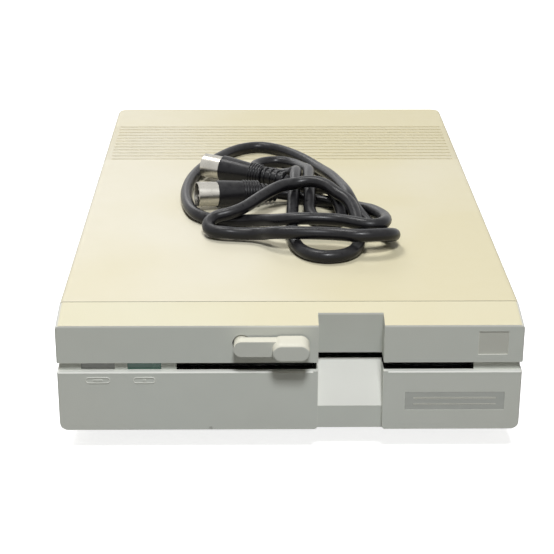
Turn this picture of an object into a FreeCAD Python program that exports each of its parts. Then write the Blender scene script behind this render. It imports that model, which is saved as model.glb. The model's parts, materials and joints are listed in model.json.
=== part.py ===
import FreeCAD, Part
import math
import os

os.makedirs("parts", exist_ok=True)

# An external disk drive: a flat plastic case of three mouldings (front bezel, top cover, bottom case) round a
# half-height disk mechanism, with its main board below the mechanism and its power supply behind it.
# Millimetres, +Z up, the front looks along -Y. The origin is under the middle of the drive, on the table.

Vec = FreeCAD.Vector

# ---------------------------------------------------------------- case
CASE_WIDTH = 213.0
CASE_DEPTH = 345.0            # from the face of the bezel to the rear edge
WALL = 2.5
FOOT_HEIGHT = 4.0             # how far the rubber feet stand out of the case
UNDERCUT = 9.5                # height of the sloping underside
FACE_HEIGHT = 52.7
TOP_RISE = 3.8                # how much the bezel's top climbs from the face to the seam
BEZEL_DEPTH = 18.7
CHIN_RUN = 27.0               # how far back the underside slopes at the front
UNDERCUT_INSET = 9.0          # and at the sides and the rear
REAR_CORNER_R = 7.0
TOP_EDGE_R = 2.5
BOTTOM_EDGE_R = 4.0
UNDERCUT_CORNER_R = 5.0
FACE_EDGE_R = 1.0
SEAM_GAP = 0.5                # width and depth of the shadow line between bezel and covers

# ---------------------------------------------------------------- face, heights from its lower edge
CHANNEL_LOW = 29.6
CHANNEL_HIGH = 34.2
CHANNEL_DEPTH = 2.5
CHANNEL_SIDE_DEPTH = 1.0
CHANNEL_BEVEL = 0.6
SLOT_WIDTH = 136.4
SLOT_SIDE_MARGIN = 22.1       # right end of the slot to the case's right side
SLOT_X = CASE_WIDTH / 2 - SLOT_SIDE_MARGIN - SLOT_WIDTH / 2    # middle of the slot, and the spindle's X
SLOT_MARGIN = 0.1             # slot edges to the channel's edges
RECESS_X = SLOT_X + 11.6
RECESS_WIDTH = 30.0
RECESS_WALL = 2.2
RECESS_LOW_Y = 4.0            # depth of the recess below its ramp
RECESS_RAMP_Z = 10.2
RECESS_RAMP_Y = 15.0
RECESS_TOP_Y = 9.5
RECESS_SLOT_Y = 11.3
RECESS_EDGE_R = 1.5           # round ends of the face beside the recess
FREE_FACE = SLOT_X - SLOT_WIDTH / 2 + CASE_WIDTH / 2           # left of the slot, where the two lamps are
WINDOW_WIDTH = 0.286 * FREE_FACE
WINDOW_OUTER_MARGIN = 0.198 * FREE_FACE
WINDOW_MIDDLE_MARGIN = 0.104 * FREE_FACE
POWER_WINDOW_X = -CASE_WIDTH / 2 + WINDOW_OUTER_MARGIN + WINDOW_WIDTH / 2
DRIVE_WINDOW_X = POWER_WINDOW_X + WINDOW_WIDTH + WINDOW_MIDDLE_MARGIN
WINDOW_THICK = 2.0
WINDOW_FLANGE = 1.0
LED_R = 1.5
LED_LENGTH = 5.0
LED_BOARD_THICK = 1.6
LED_POST_OUT = 0.4 * WINDOW_OUTER_MARGIN
LED_POST_HALF = 1.0
BADGE_X = CASE_WIDTH / 2 - 14.05
BADGE_Z = 43.75
BADGE_WIDTH = 13.5
BADGE_HEIGHT = 11.5
NAME_Z = 14.55
NAME_WIDTH = 46.1
NAME_LEFT_SHARE = 0.58        # of the bare face beside the plate, this much is on its left
NAME_SPARE = CASE_WIDTH / 2 - RECESS_X - RECESS_WIDTH / 2 - NAME_WIDTH
NAME_X = RECESS_X + RECESS_WIDTH / 2 + NAME_LEFT_SHARE * NAME_SPARE + NAME_WIDTH / 2
NAME_HEIGHT = 9.1
PLATE_THICK = 1.0
BADGE_SUNK = 0.5              # front of the plate behind the face
NAME_SUNK = 0.15

# ---------------------------------------------------------------- grooves over the rear of the top
GROOVE_COUNT = 12
GROOVE_PITCH = 6.13
GROOVE_WIDTH = 1.5
GROOVE_DEPTH = 0.7
GROOVE_FIRST_Y = 236.4        # behind the face
GROOVE_LENGTH = CASE_WIDTH - 9.0

# ---------------------------------------------------------------- lever
LEVER_X = SLOT_X - 38.2
LEVER_Z = 43.8
LEVER_ARM_HEIGHT = 7.3
LEVER_ARM_PROUD = 6.5
LEVER_GAP = 0.9               # back of the arm to the face
KNOB_LEFT_X = LEVER_X + 13.7
KNOB_RIGHT_X = LEVER_X + 30.8
KNOB_HEIGHT = 8.6
KNOB_PROUD = 11.5
KNOB_EDGE_R = 1.2
LEVER_HOLE_R = 4.3
LEVER_HUB_GAP = 0.6           # lever's hub to the edge of its hole
SHAFT_R = 2.5
SHAFT_REACH = 3.0             # how far the shaft and its socket go into the lever, before the face
CAM_WIDTH = 6.0
CAM_GAP = 0.3
CAM_WALL = 1.3                # round the shaft
CAM_TIP = 0.6
LEVER_TURN = 90.0

# ---------------------------------------------------------------- mechanism
MECH_WIDTH = 146.0
MECH_HEIGHT = 41.3
MECH_GAP = 1.0                # behind the bezel's recess
MECH_LENGTH = 180.0
MECH_WALL = 4.0
MECH_TOP_GAP = 3.45           # under the top cover's outer face
BRIDGE_RISE = 3.0             # the cross bridges over the disk slot
BRIDGE_THICK = 4.0
BRACKET_AHEAD = 10.0          # second lever bearing, ahead of the clamp arm
ARM_POST_THICK = 5.0
ROD_HOLDER = 6.0              # length of the blocks that hold the guide rods
DISK_WIDTH = 133.35
DISK_THICK = 1.6
DISK_STOP_Y = 145.4           # where the disk's far edge stops, behind the face
DECK_DROP = 2.8               # disk path to the deck's top
DECK_THICK = 3.0
GUIDE_CLEARANCE = 0.8
GUIDE_LEDGE = 4.5
GUIDE_LEDGE_THICK = 2.0
RUN_CLEARANCE = 0.05          # radial play of shafts in their bearings
SPINDLE_Y = 78.0              # behind the face
HUB_R = 17.0
HUB_THICK = 2.3
HUB_CUP_R = 14.0
SPINDLE_R = 3.5
BEARING_R = 16.0
BEARING_NECK_R = 8.0
ROTOR_R = 30.0
ROTOR_THICK = 1.8
MAGNET_THICK = 2.4
MAGNET_INNER_R = 14.0
COIL_COUNT = 6
COIL_R = 4.5
COIL_HOLE_R = 1.8
COIL_RING_R = 20.0
COIL_THICK = 1.2
BOARD_THICK = 1.6
ARM_LIFT = 4.1                # degrees that the clamp arm stands open
ARM_HINGE_Y = 166.0
ARM_THICK = 1.2
ARM_REAR_RISE = 3.8           # the arm's rear stands this much above its front plate
ARM_FRONT_Y = 58.0
ARM_PLATE_Y = 118.0           # the front plate ends here, and the slope to the raised rear begins
ARM_STEP_Y = 128.0
ARM_WIDTH = 92.0
ARM_LEG = 16.0
ARM_PIN_R = 1.5
ARM_BARREL_WALL = 1.3
ARM_DISK_GAP = 2.0            # closed arm to the bottom of the disk path
CONE_R = 13.4
CONE_DEPTH = 1.0
TRACK_OUT = 57.15             # head radius at the outer track
TRACK_TRAVEL = 20.6
HEAD_R = 4.0
ROD_R = 3.0
ROD_SPREAD = 21.0
BLOCK_WIDTH = 50.0
BLOCK_LENGTH = 34.0
HEAD_ARM_LENGTH = 38.0
HEAD_ARM_LIFT = 6.0           # degrees
CAPSTAN_R = 8.0
STEPPER_X = SLOT_X + 45.8
STEPPER_Y = 182.0
STEPPER_R = 19.0
BAND_GAP = 0.3
BAND_THICK = 0.3

# ---------------------------------------------------------------- boards, power supply and rear panel
PANEL_RECESS = 4.0            # rear panel behind the case's rear edge
PANEL_LEFT_X = -CASE_WIDTH / 2 + 14.5
PANEL_RIGHT_X = CASE_WIDTH / 2 - 9.5
PANEL_LOW_Z = 16.0
PANEL_HIGH_Z = 40.5
MAIN_BOARD_Z = 11.5
MAIN_BOARD_LEFT_X = -CASE_WIDTH / 2 + 12.5
POWER_SIDE_WIDTH = 72.5        # kept for the power supply, on the right
MAIN_BOARD_RIGHT_X = CASE_WIDTH / 2 - POWER_SIDE_WIDTH
MAIN_BOARD_SETBACK = 20.0     # behind the seam
CHIP_ROWS = 6
CHIP_COLUMN_SHARES = (0.14, 0.44, 0.66, 0.86)      # of the board's width
CHIP_LONG = 34.0
CHIP_SHORT = 20.0
CHIP_WIDE = 14.0
CHIP_NARROW = 7.0
CHIP_THICK = 3.6
SHIELD_INSET = 6.0
SHIELD_HEIGHT = 7.0
SHIELD_THICK = 0.8
SHIELD_FRONT_GAP = 40.0       # mechanism's front to the plate's
SHIELD_REAR_GAP = 26.0
BOARD_SETBACK = 4.0           # boards to the rear panel, clear of the sloping underside
POWER_BOARD_LEFT_X = CASE_WIDTH / 2 - 68.5
POWER_BOARD_RIGHT_X = CASE_WIDTH / 2 - 12.5
POWER_BOARD_LENGTH = 85.75
POWER_SIDE_GAP = 6.0          # board's left edge to the transformer and the heat sink
POWER_FRONT_GAP = 14.0        # board's front edge to the transformer and the first capacitor
BIG_CAP_PITCH = 18.0
SMALL_CAP_Y = 52.0            # behind the board's front edge
SMALL_CAP_INSET = 14.0        # left of the large capacitors
SMALL_CAP_PITCH = 12.0
SINK_Y = 58.0
CORE_LENGTH = 30.0            # transformer: iron core along X
CORE_DEPTH = 14.0
CORE_HEIGHT = 26.0
WINDING_SIZE = (20.0, 26.0, 21.0)
BIG_CAP = (6.5, 24.0)         # radius and height
SMALL_CAP = (4.0, 14.0)
CAP_SIDE_GAP = 10.0           # big capacitors to the board's right edge
SINK_WIDTH = 40.0
SINK_HEIGHT = 26.0
SINK_BASE = 2.0
SINK_FINS = 6
SINK_FIN_THICK = 1.2
SINK_FIN_REACH = 7.0
SOCKET_XS = (-CASE_WIDTH / 2 + 38.5, -CASE_WIDTH / 2 + 68.5)
SOCKET_Z = 27.0
SOCKET_R = 9.0
SOCKET_BODY = 20.0
SOCKET_DEPTH = 15.0
SOCKET_PROUD = 2.0
SOCKET_CORE_R = 5.4
SOCKET_CORE_SETBACK = 0.6     # the core's face behind the ring's
SOCKET_CAVITY_R = 7.0
SOCKET_CAVITY_DEPTH = 9.0
PIN_HOLE_R = 0.9
PIN_HOLE_DEPTH = 8.0
PIN_COUNT = 6
PIN_RING_R = 3.5
DIP_X = -CASE_WIDTH / 2 + 98.5
DIP_WIDTH = 9.0
DIP_HEIGHT = 9.0
DIP_DEPTH = 6.0
DIP_PITCH = 4.0
DIP_TRAVEL = 1.5
DIP_SLIDER = 1.6
DIP_SLIDER_PROUD = 0.8
DIP_SLIDER_DEPTH = 2.3
DIP_SLOT_CLEARANCE = 0.2
SWITCH_X = CASE_WIDTH / 2 - 26.5
INLET_X = SWITCH_X - 33.0
INLET_Z = 28.0
INLET_WIDTH = 27.0
INLET_HEIGHT = 20.0
INLET_DEPTH = 20.0
INLET_MOUTH_WIDTH = 24.0
INLET_MOUTH_HEIGHT = 17.0
INLET_MOUTH_DEPTH = 16.0
INLET_PROUD = 1.5
INLET_CHAMFER = 3.5
BLADE_SPREAD = 7.0            # outer blades from the middle
BLADE_DROP = 2.0
BLADE_THICK = 2.0
BLADE_HEIGHT = 4.0
BLADE_SETBACK = 1.5
SWITCH_Z = 28.0
SWITCH_WIDTH = 13.0
SWITCH_HEIGHT = 19.0
SWITCH_DEPTH = 14.0
SWITCH_PROUD = 1.2
SWITCH_RIM = 1.5
ROCKER_TILT = 8.0             # degrees each way
ROCKER_GAP = 0.3
ROCKER_PIN_R = 1.0
ROCKER_PIN_DEPTH = 5.0        # behind the panel
FOOT_R = 8.0
FOOT_HOLE_R = 2.0
FOOT_HOLE_DEPTH = 1.5
FOOT_X = CASE_WIDTH / 2 - 28.5
FOOT_FRONT_Y = 46.0           # behind the face
FOOT_REAR_Y = 34.0            # in front of the rear edge
BOSS_R = 4.0
BOSS_GAP = 0.3                # bosses to the mechanism
SCREW_R = 1.5
SCREW_HEAD_R = 3.0
SCREW_HEAD = 2.0
SCREW_BITE = 7.0              # how far the screws go into the top cover's posts

# ---------------------------------------------------------------- serial cable, lying on the top cover
CABLE_R = 3.25
CABLE_CORNER = 0.45           # arcs take this share of the shorter run at each corner
SHELL_R = 6.6
SHELL_WALL = 0.6
SHELL_LENGTH = 11.0
PLUG_CORE_FACE = 6.0          # behind the shell's mouth
PLUG_PIN_R = 0.7
PLUG_PIN_TIP = 1.5            # behind the shell's mouth
GRIP_R = 7.3
RELIEF_R = 5.0
RELIEF_END_R = 4.3
PLUG_1_GRIP_END = 26.0        # along the plug, from the shell's mouth
PLUG_2_GRIP_END = 22.0
GRIP_TAPER = 8.0
PLUG_1_MOUTH = (-47.4, 144.9, 9.1)
PLUG_2_MOUTH = (-45.0, 197.0, 9.0)
# The cable's middle from the first plug to the second: x, distance behind the face, height above the top.
# It lies on the top in loose loops and rises in low humps where it passes over itself.
CABLE_ROUTE = (
    (-4.5, 156.5, 5.9), (1.3, 157.6, 4.9), (8.4, 155, 3.4), (16.3, 152.2, 3.4), (28.2, 146.7, 3.4),
    (37.8, 140.9, 3.4), (42.6, 136.5, 3.8), (45.6, 127.5, 6.3), (51.4, 111.3, 8.4), (50.3, 94.5, 11.1),
    (42.9, 89.7, 11.1), (33.5, 94.2, 11.5), (26, 99.8, 10.9), (7.7, 100.4, 11.5), (-4.3, 104.5, 9),
    (-12.3, 113.4, 5.6), (-21.4, 119.4, 3.4), (-31.1, 119.6, 3.4), (-41.5, 121.4, 3.4),
    (-50.1, 132.8, 3.8), (-54.3, 158.9, 3.4), (-52.9, 184.7, 3.4), (-47.5, 207.3, 3.4),
    (-38.6, 225.8, 3.4), (-27.9, 244, 3.4), (-14, 251.1, 3.4), (-0.5, 243.9, 3.4), (11.7, 227.1, 3.4),
    (20.9, 207.4, 3.4), (26.5, 183.2, 7.2), (31.4, 158.6, 9.1), (33.4, 141.4, 10.9), (36.1, 132.5, 7.4),
    (38.5, 126.7, 5.2), (42.8, 116.1, 3.4), (46.5, 104.3, 3.4), (51, 96, 3.4), (54.6, 89.5, 6.3),
    (53.1, 82.4, 9.4), (47.4, 77.1, 11.1), (34.8, 74.6, 11.4), (24.3, 79.9, 10.6), (7.3, 81.5, 10.6),
    (-6.3, 84.6, 9.6), (-12.9, 94.6, 5.1), (-24.1, 97.4, 4.2), (-32.1, 97.9, 4.8), (-37.4, 100.1, 4.4),
    (-40.3, 104.5, 4.8), (-40, 109.5, 6.2), (-36.1, 113.6, 7.9), (-29.2, 114.3, 9.1),
    (-21.4, 118.6, 10.7), (-11.5, 131.1, 13.5), (-1.8, 140.3, 15.8), (4.5, 144.8, 14.9),
    (13.6, 145.8, 16.6), (22, 141.1, 16), (26.8, 132.4, 14.3), (33.2, 126.6, 12.2), (35.9, 116.5, 9.4),
    (37.2, 105.6, 4.9), (36.6, 94.9, 3.4), (36.2, 83.2, 3.4), (32.7, 73.6, 3.4), (26.3, 67.7, 3.4),
    (17.3, 66.6, 3.4), (9.3, 71.4, 3.4), (4.8, 81.5, 3.4), (3.2, 92.3, 3.4), (2.8, 106.1, 3.4),
    (3.3, 119.4, 3.4), (3.9, 132.2, 4.4), (4.3, 143, 7.6), (5.7, 154.1, 10.6), (5.9, 167.9, 12.2),
    (7.1, 179.3, 11.5), (5.3, 188.7, 6.8), (-0.6, 194.4, 4), (-8.1, 197.1, 4.1), (-15.1, 202.3, 3.4),
    (-17.2, 210.7, 3.4), (-12.2, 218.9, 3.4), (-1, 221.5, 3.4), (8.2, 214, 3.4), (11.1, 198.1, 6.7),
    (14.5, 183.9, 10.2), (13.1, 167.8, 10.9), (13.2, 153, 10.8), (13.5, 142.4, 8.3), (12.6, 131.1, 4.7),
    (15.3, 118.3, 4), (22.7, 115.3, 3.4), (28.9, 119, 3.4), (30.1, 127.4, 4.7), (26.9, 140.1, 9.4),
    (25.3, 149, 10.4), (20.5, 159.2, 8.3), (19.5, 168.8, 3.4), (14.8, 174.8, 3.4), (6.1, 176.3, 4.4),
    (0.7, 178.5, 6),
)

# ---------------------------------------------------------------- places worked out from the sizes above
FACE_Y = -(CASE_DEPTH - KNOB_PROUD) / 2
BACK_Y = FACE_Y + CASE_DEPTH
SEAM_Y = FACE_Y + BEZEL_DEPTH
BASE_Z = FOOT_HEIGHT
FACE_LOW_Z = BASE_Z + UNDERCUT
FACE_HIGH_Z = FACE_LOW_Z + FACE_HEIGHT
TOP_Z = FACE_HIGH_Z + TOP_RISE
FLOOR_Z = BASE_Z + WALL
CHANNEL_LOW_Z = FACE_LOW_Z + CHANNEL_LOW
CHANNEL_HIGH_Z = FACE_LOW_Z + CHANNEL_HIGH
SLOT_LOW_Z = CHANNEL_LOW_Z + SLOT_MARGIN
SLOT_HIGH_Z = CHANNEL_HIGH_Z - SLOT_MARGIN
CHANNEL_MID_Z = (CHANNEL_LOW_Z + CHANNEL_HIGH_Z) / 2
LEVER_AXIS_Z = FACE_LOW_Z + LEVER_Z
DISK_Z = SLOT_LOW_Z + 0.1
DECK_TOP_Z = DISK_Z - DECK_DROP
DECK_LOW_Z = DECK_TOP_Z - DECK_THICK
MECH_LOW_Z = TOP_Z - MECH_TOP_GAP - MECH_HEIGHT - 0.5
MECH_Y0 = FACE_Y + RECESS_RAMP_Y + RECESS_WALL + MECH_GAP
MECH_Y1 = MECH_Y0 + MECH_LENGTH
SPINDLE_AT_Y = FACE_Y + SPINDLE_Y
PANEL_Y = BACK_Y - PANEL_RECESS
MAIN_BOARD_TOP_Z = MAIN_BOARD_Z + BOARD_THICK
MAIN_BOARD_FRONT_Y = SEAM_Y + MAIN_BOARD_SETBACK
BOARD_REAR_Y = PANEL_Y - WALL - BOARD_SETBACK
POWER_BOARD_REAR_Y = BOARD_REAR_Y - INLET_DEPTH
POWER_BOARD_FRONT_Y = POWER_BOARD_REAR_Y - POWER_BOARD_LENGTH


# ---------------------------------------------------------------- small helpers
def box(x0, x1, y0, y1, z0, z1):
    return Part.makeBox(x1 - x0, y1 - y0, z1 - z0, Vec(x0, y0, z0))


def rod(radius, start, end):
    way = Vec(*end) - Vec(*start)
    return Part.makeCylinder(radius, way.Length, Vec(*start), way)


def side_profile(points, x0, x1):
    """A solid with a side outline of (y, z) points, running from x0 to x1."""
    corners = [Vec(x0, y, z) for y, z in points]
    return Part.Face(Part.makePolygon(corners + corners[:1])).extrude(Vec(x1 - x0, 0, 0))


def rounded_plan(width, y0, y1, front_r, rear_r, z):
    """A closed wire at height z: a rectangle centred on X = 0 with round corners, front and rear."""
    half = width / 2
    dips = 1 - math.sqrt(0.5)
    corners = [(-half, y0, front_r, 1, 1), (half, y0, front_r, -1, 1),
               (half, y1, rear_r, -1, -1), (-half, y1, rear_r, 1, -1)]
    edges = []
    ends = []
    for count, (x, y, r, sx, sy) in enumerate(corners):
        along_x = Vec(x + sx * r, y, z)
        along_y = Vec(x, y + sy * r, z)
        middle = Vec(x + sx * r * dips, y + sy * r * dips, z)
        first, last = (along_y, along_x) if count % 2 == 0 else (along_x, along_y)
        ends.append((first, middle, last))
    for count, (first, middle, last) in enumerate(ends):
        edges.append(Part.Arc(first, middle, last).toShape())
        edges.append(Part.LineSegment(last, ends[(count + 1) % 4][0]).toShape())
    return Part.Wire(edges)


def fuse(shapes):
    first, rest = shapes[0], list(shapes[1:])
    return first.fuse(rest).removeSplitter() if rest else first


def save(name, shape):
    solids = shape.Solids
    kept = solids[0] if len(solids) == 1 else Part.makeCompound(solids)
    kept.exportStep("parts/" + name + ".step")
    volume = sum(s.Volume for s in solids)
    print("%-24s %2d solid(s) %9.0f mm3 valid %s" % (name, len(solids), volume, kept.isValid()))


def turned(shape, centre, axis, degrees):
    copy = shape.copy()
    copy.rotate(Vec(*centre), Vec(*axis), degrees)
    return copy


# ---------------------------------------------------------------- case mouldings
def case_form(inset):
    """The whole case as one solid, moved in by inset all round."""
    half = CASE_WIDTH / 2 - inset
    front, rear = FACE_Y + inset, BACK_Y - inset
    low, high, top = FACE_LOW_Z + inset, FACE_HIGH_Z - inset, TOP_Z - inset
    body = side_profile([(front, low), (front, high), (SEAM_Y, top), (rear, top), (rear, low)], -half, half)
    if inset == 0:
        body = round_long_edges(body)
    plan = Part.Face(rounded_plan(2 * half, front, rear, FACE_EDGE_R, REAR_CORNER_R - inset, low - 1))
    body = body.common(plan.extrude(Vec(0, 0, top - low + 2)))
    undercut = Part.makeLoft([
        rounded_plan(2 * (half - BOTTOM_EDGE_R), front + FACE_EDGE_R, rear - BOTTOM_EDGE_R,
                     FACE_EDGE_R, UNDERCUT_CORNER_R, low),
        rounded_plan(2 * (half - UNDERCUT_INSET), front + CHIN_RUN, rear - UNDERCUT_INSET,
                     UNDERCUT_CORNER_R, UNDERCUT_CORNER_R, BASE_Z + inset),
    ], True, True)
    return body.fuse(undercut).removeSplitter()


def round_long_edges(body):
    """Rounds the edges that run from front to rear: the upper ones lightly, the lower ones more."""
    running = [edge for edge in body.Edges if edge.BoundBox.XLength < 0.01 and edge.BoundBox.YLength > 5]
    upper = [edge for edge in running if edge.BoundBox.ZMax > FACE_HIGH_Z]
    lower = [edge for edge in running if edge.BoundBox.ZMax < FACE_HIGH_Z]
    return body.makeFillet(TOP_EDGE_R, upper).makeFillet(BOTTOM_EDGE_R - 0.1, lower)


def front_part(shape):
    return shape.common(box(-CASE_WIDTH, CASE_WIDTH, FACE_Y - 1, SEAM_Y, 0, TOP_Z + 1))


def rear_part(shape, z0, z1):
    return shape.common(box(-CASE_WIDTH, CASE_WIDTH, SEAM_Y, BACK_Y + 1, z0, z1))


def seam_groove(outer):
    """The ring that the seam's shadow line takes out of the covers' front edge."""
    ring = box(-CASE_WIDTH, CASE_WIDTH, SEAM_Y, SEAM_Y + SEAM_GAP, 0, TOP_Z + 1)
    return outer.common(ring).cut(case_form(SEAM_GAP))


def recess_air():
    """The air of the finger recess: under the slot a step and a ramp, over it a leaning wall."""
    x0, x1 = RECESS_X - RECESS_WIDTH / 2, RECESS_X + RECESS_WIDTH / 2
    outline = [
        (FACE_Y - 5, 0),
        (FACE_Y + RECESS_LOW_Y, 0),
        (FACE_Y + RECESS_LOW_Y, FACE_LOW_Z + RECESS_RAMP_Z),
        (FACE_Y + RECESS_RAMP_Y, SLOT_LOW_Z),
        (FACE_Y + RECESS_RAMP_Y, SLOT_HIGH_Z),
        (FACE_Y + RECESS_SLOT_Y, SLOT_HIGH_Z),
        (FACE_Y + RECESS_TOP_Y, TOP_Z + 2),
        (FACE_Y - 5, TOP_Z + 2),
    ]
    return side_profile(outline, x0, x1)


def recess_shoulders():
    """What rounds the lower corners of the face, left and right of the recess."""
    cutters = []
    z = FACE_LOW_Z + RECESS_EDGE_R
    for side in (-1, 1):
        edge = RECESS_X + side * RECESS_WIDTH / 2
        inner = edge + side * RECESS_EDGE_R
        block = box(min(edge, inner), max(edge, inner), FACE_Y - 1, FACE_Y + RECESS_LOW_Y, 0, z)
        kept = rod(RECESS_EDGE_R, (inner, FACE_Y - 2, z), (inner, FACE_Y + RECESS_LOW_Y + 1, z))
        cutters.append(block.cut(kept))
    return Part.makeCompound(cutters)


def recess_body():
    """The walls round the recess, before its air is cut."""
    x0, x1 = RECESS_X - RECESS_WIDTH / 2 - RECESS_WALL, RECESS_X + RECESS_WIDTH / 2 + RECESS_WALL
    low_back = FACE_Y + RECESS_LOW_Y + RECESS_WALL
    ramp_back = FACE_Y + RECESS_RAMP_Y + RECESS_WALL
    lower = side_profile([(FACE_Y, 0), (FACE_Y, SLOT_LOW_Z), (ramp_back, SLOT_LOW_Z),
                          (low_back, FACE_LOW_Z + RECESS_RAMP_Z - RECESS_WALL), (low_back, 0)], x0, x1)
    upper = side_profile([(FACE_Y, SLOT_HIGH_Z), (FACE_Y, TOP_Z),
                          (FACE_Y + RECESS_TOP_Y + RECESS_WALL, TOP_Z),
                          (FACE_Y + RECESS_SLOT_Y + RECESS_WALL, SLOT_HIGH_Z)], x0, x1)
    return lower.fuse(upper)


def front_bezel(outer, inner):
    wall = front_part(outer).cut(inner)
    channel_y = FACE_Y + CHANNEL_DEPTH
    wall = wall.cut(box(-CASE_WIDTH, CASE_WIDTH, FACE_Y - 1, channel_y, CHANNEL_LOW_Z, CHANNEL_HIGH_Z))
    side_x = CASE_WIDTH / 2 - CHANNEL_SIDE_DEPTH
    for x0, x1 in ((-CASE_WIDTH, -side_x), (side_x, CASE_WIDTH)):
        wall = wall.cut(box(x0, x1, FACE_Y - 1, SEAM_Y + 1, CHANNEL_LOW_Z, CHANNEL_HIGH_Z))
    wall = wall.cut(side_profile([(FACE_Y, CHANNEL_LOW_Z - CHANNEL_BEVEL), (FACE_Y, CHANNEL_LOW_Z),
                                  (FACE_Y + CHANNEL_BEVEL, CHANNEL_LOW_Z)], -CASE_WIDTH, CASE_WIDTH))
    floor = box(-side_x, side_x, channel_y, channel_y + WALL, CHANNEL_LOW_Z - WALL, CHANNEL_HIGH_Z + WALL)
    whole = fuse([wall, floor, recess_body().common(front_part(outer))])
    for post_x in led_post_xs():
        whole = whole.fuse(box(post_x - LED_POST_HALF, post_x + LED_POST_HALF, channel_y + WALL, led_board_y(),
                               CHANNEL_MID_Z - LED_POST_HALF, CHANNEL_MID_Z + LED_POST_HALF))
    whole = whole.cut(recess_air()).cut(recess_shoulders())
    half = SLOT_WIDTH / 2
    whole = whole.cut(box(SLOT_X - half, SLOT_X + half, FACE_Y, FACE_Y + RECESS_RAMP_Y + 5, SLOT_LOW_Z, SLOT_HIGH_Z))
    for window_x in (POWER_WINDOW_X, DRIVE_WINDOW_X):
        whole = whole.cut(box(window_x - WINDOW_WIDTH / 2, window_x + WINDOW_WIDTH / 2, FACE_Y, channel_y + WALL,
                              SLOT_LOW_Z, SLOT_HIGH_Z))
    lever_hole = rod(LEVER_HOLE_R, (LEVER_X, FACE_Y - 1, LEVER_AXIS_Z), (LEVER_X, FACE_Y + 8, LEVER_AXIS_Z))
    whole = whole.cut(lever_hole)
    for plate in (badge_form(), name_form()):
        whole = whole.cut(plate_pocket(plate.BoundBox))
    return whole.removeSplitter()


def plate_pocket(room):
    """A plate's room in the face, open to the front."""
    return box(room.XMin, room.XMax, FACE_Y - 1, room.YMax, room.ZMin, room.ZMax)


def plate_form(x, z, width, height, sunk):
    """A thin plate, sunk a little into the face."""
    y0 = FACE_Y + sunk
    return box(x - width / 2, x + width / 2, y0, y0 + PLATE_THICK, z - height / 2, z + height / 2)


def badge_form():
    return plate_form(BADGE_X, FACE_LOW_Z + BADGE_Z, BADGE_WIDTH, BADGE_HEIGHT, BADGE_SUNK)


def name_form():
    return plate_form(NAME_X, FACE_LOW_Z + NAME_Z, NAME_WIDTH, NAME_HEIGHT, NAME_SUNK)


def window(x):
    """A light window that fills its hole in the channel's floor, with a flange behind."""
    y0 = FACE_Y + CHANNEL_DEPTH
    half = WINDOW_WIDTH / 2
    pane = box(x - half, x + half, y0 + WALL - WINDOW_THICK, y0 + WALL, SLOT_LOW_Z, SLOT_HIGH_Z)
    flange = box(x - half - WINDOW_FLANGE, x + half + WINDOW_FLANGE, y0 + WALL, y0 + WALL + WINDOW_FLANGE,
                 SLOT_LOW_Z - WINDOW_FLANGE, SLOT_HIGH_Z + WINDOW_FLANGE)
    return fuse([pane, flange])


def led_front_y():
    return FACE_Y + CHANNEL_DEPTH + WALL + WINDOW_FLANGE


def led_board_y():
    return led_front_y() + LED_LENGTH


def led(x):
    """A small LED lying along Y, its round end against the window and its rim on the board."""
    tip = led_front_y() + LED_R
    body = rod(LED_R, (x, tip, CHANNEL_MID_Z), (x, led_board_y(), CHANNEL_MID_Z))
    dome = Part.makeSphere(LED_R, Vec(x, tip, CHANNEL_MID_Z))
    rim = rod(LED_R + 0.4, (x, led_board_y() - 1, CHANNEL_MID_Z), (x, led_board_y(), CHANNEL_MID_Z))
    return fuse([body, dome, rim])


def led_post_xs():
    """Two small posts behind the channel carry the lamps' board."""
    out = WINDOW_WIDTH / 2 + LED_POST_OUT
    return (POWER_WINDOW_X - out, DRIVE_WINDOW_X + out)


def led_board():
    left, right = led_post_xs()
    return box(left - LED_POST_HALF, right + LED_POST_HALF, led_board_y(), led_board_y() + LED_BOARD_THICK,
               CHANNEL_MID_Z - 5, CHANNEL_MID_Z + 5)


def top_cover(outer, inner):
    cover = rear_part(outer, CHANNEL_HIGH_Z, TOP_Z + 1).cut(inner).cut(seam_groove(outer))
    half = GROOVE_LENGTH / 2
    for count in range(GROOVE_COUNT):
        y = FACE_Y + GROOVE_FIRST_Y + count * GROOVE_PITCH
        groove = box(-half, half, y - GROOVE_WIDTH / 2, y + GROOVE_WIDTH / 2, TOP_Z - GROOVE_DEPTH, TOP_Z + 1)
        cover = cover.cut(groove)
    for x, y in screw_places():
        post = rod(BOSS_R, (x, y, CHANNEL_HIGH_Z), (x, y, TOP_Z - WALL))
        bore = rod(SCREW_R, (x, y, CHANNEL_HIGH_Z - 1), (x, y, CHANNEL_HIGH_Z + SCREW_BITE + 1))
        cover = cover.fuse(post).cut(bore)
    return cover.removeSplitter()


def screw_places():
    """The four case screws stand just outside the mechanism, and further back in line with that."""
    x = SLOT_X + MECH_WIDTH / 2 + BOSS_R + BOSS_GAP
    return [(sx * x, y) for sx in (-1, 1) for y in (SEAM_Y + 20, BACK_Y - 60)]


def panel_box(y0, y1, grow):
    return box(PANEL_LEFT_X - grow, PANEL_RIGHT_X + grow, y0, y1, PANEL_LOW_Z - grow, PANEL_HIGH_Z + grow)


def mech_posts():
    """Places of the four pillars that carry the mechanism."""
    x_out = MECH_WIDTH / 2 - MECH_WALL / 2
    return [(SLOT_X + sx * x_out, y) for sx in (-1, 1) for y in (MECH_Y0 + 14, MECH_Y1 - 14)]


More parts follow.
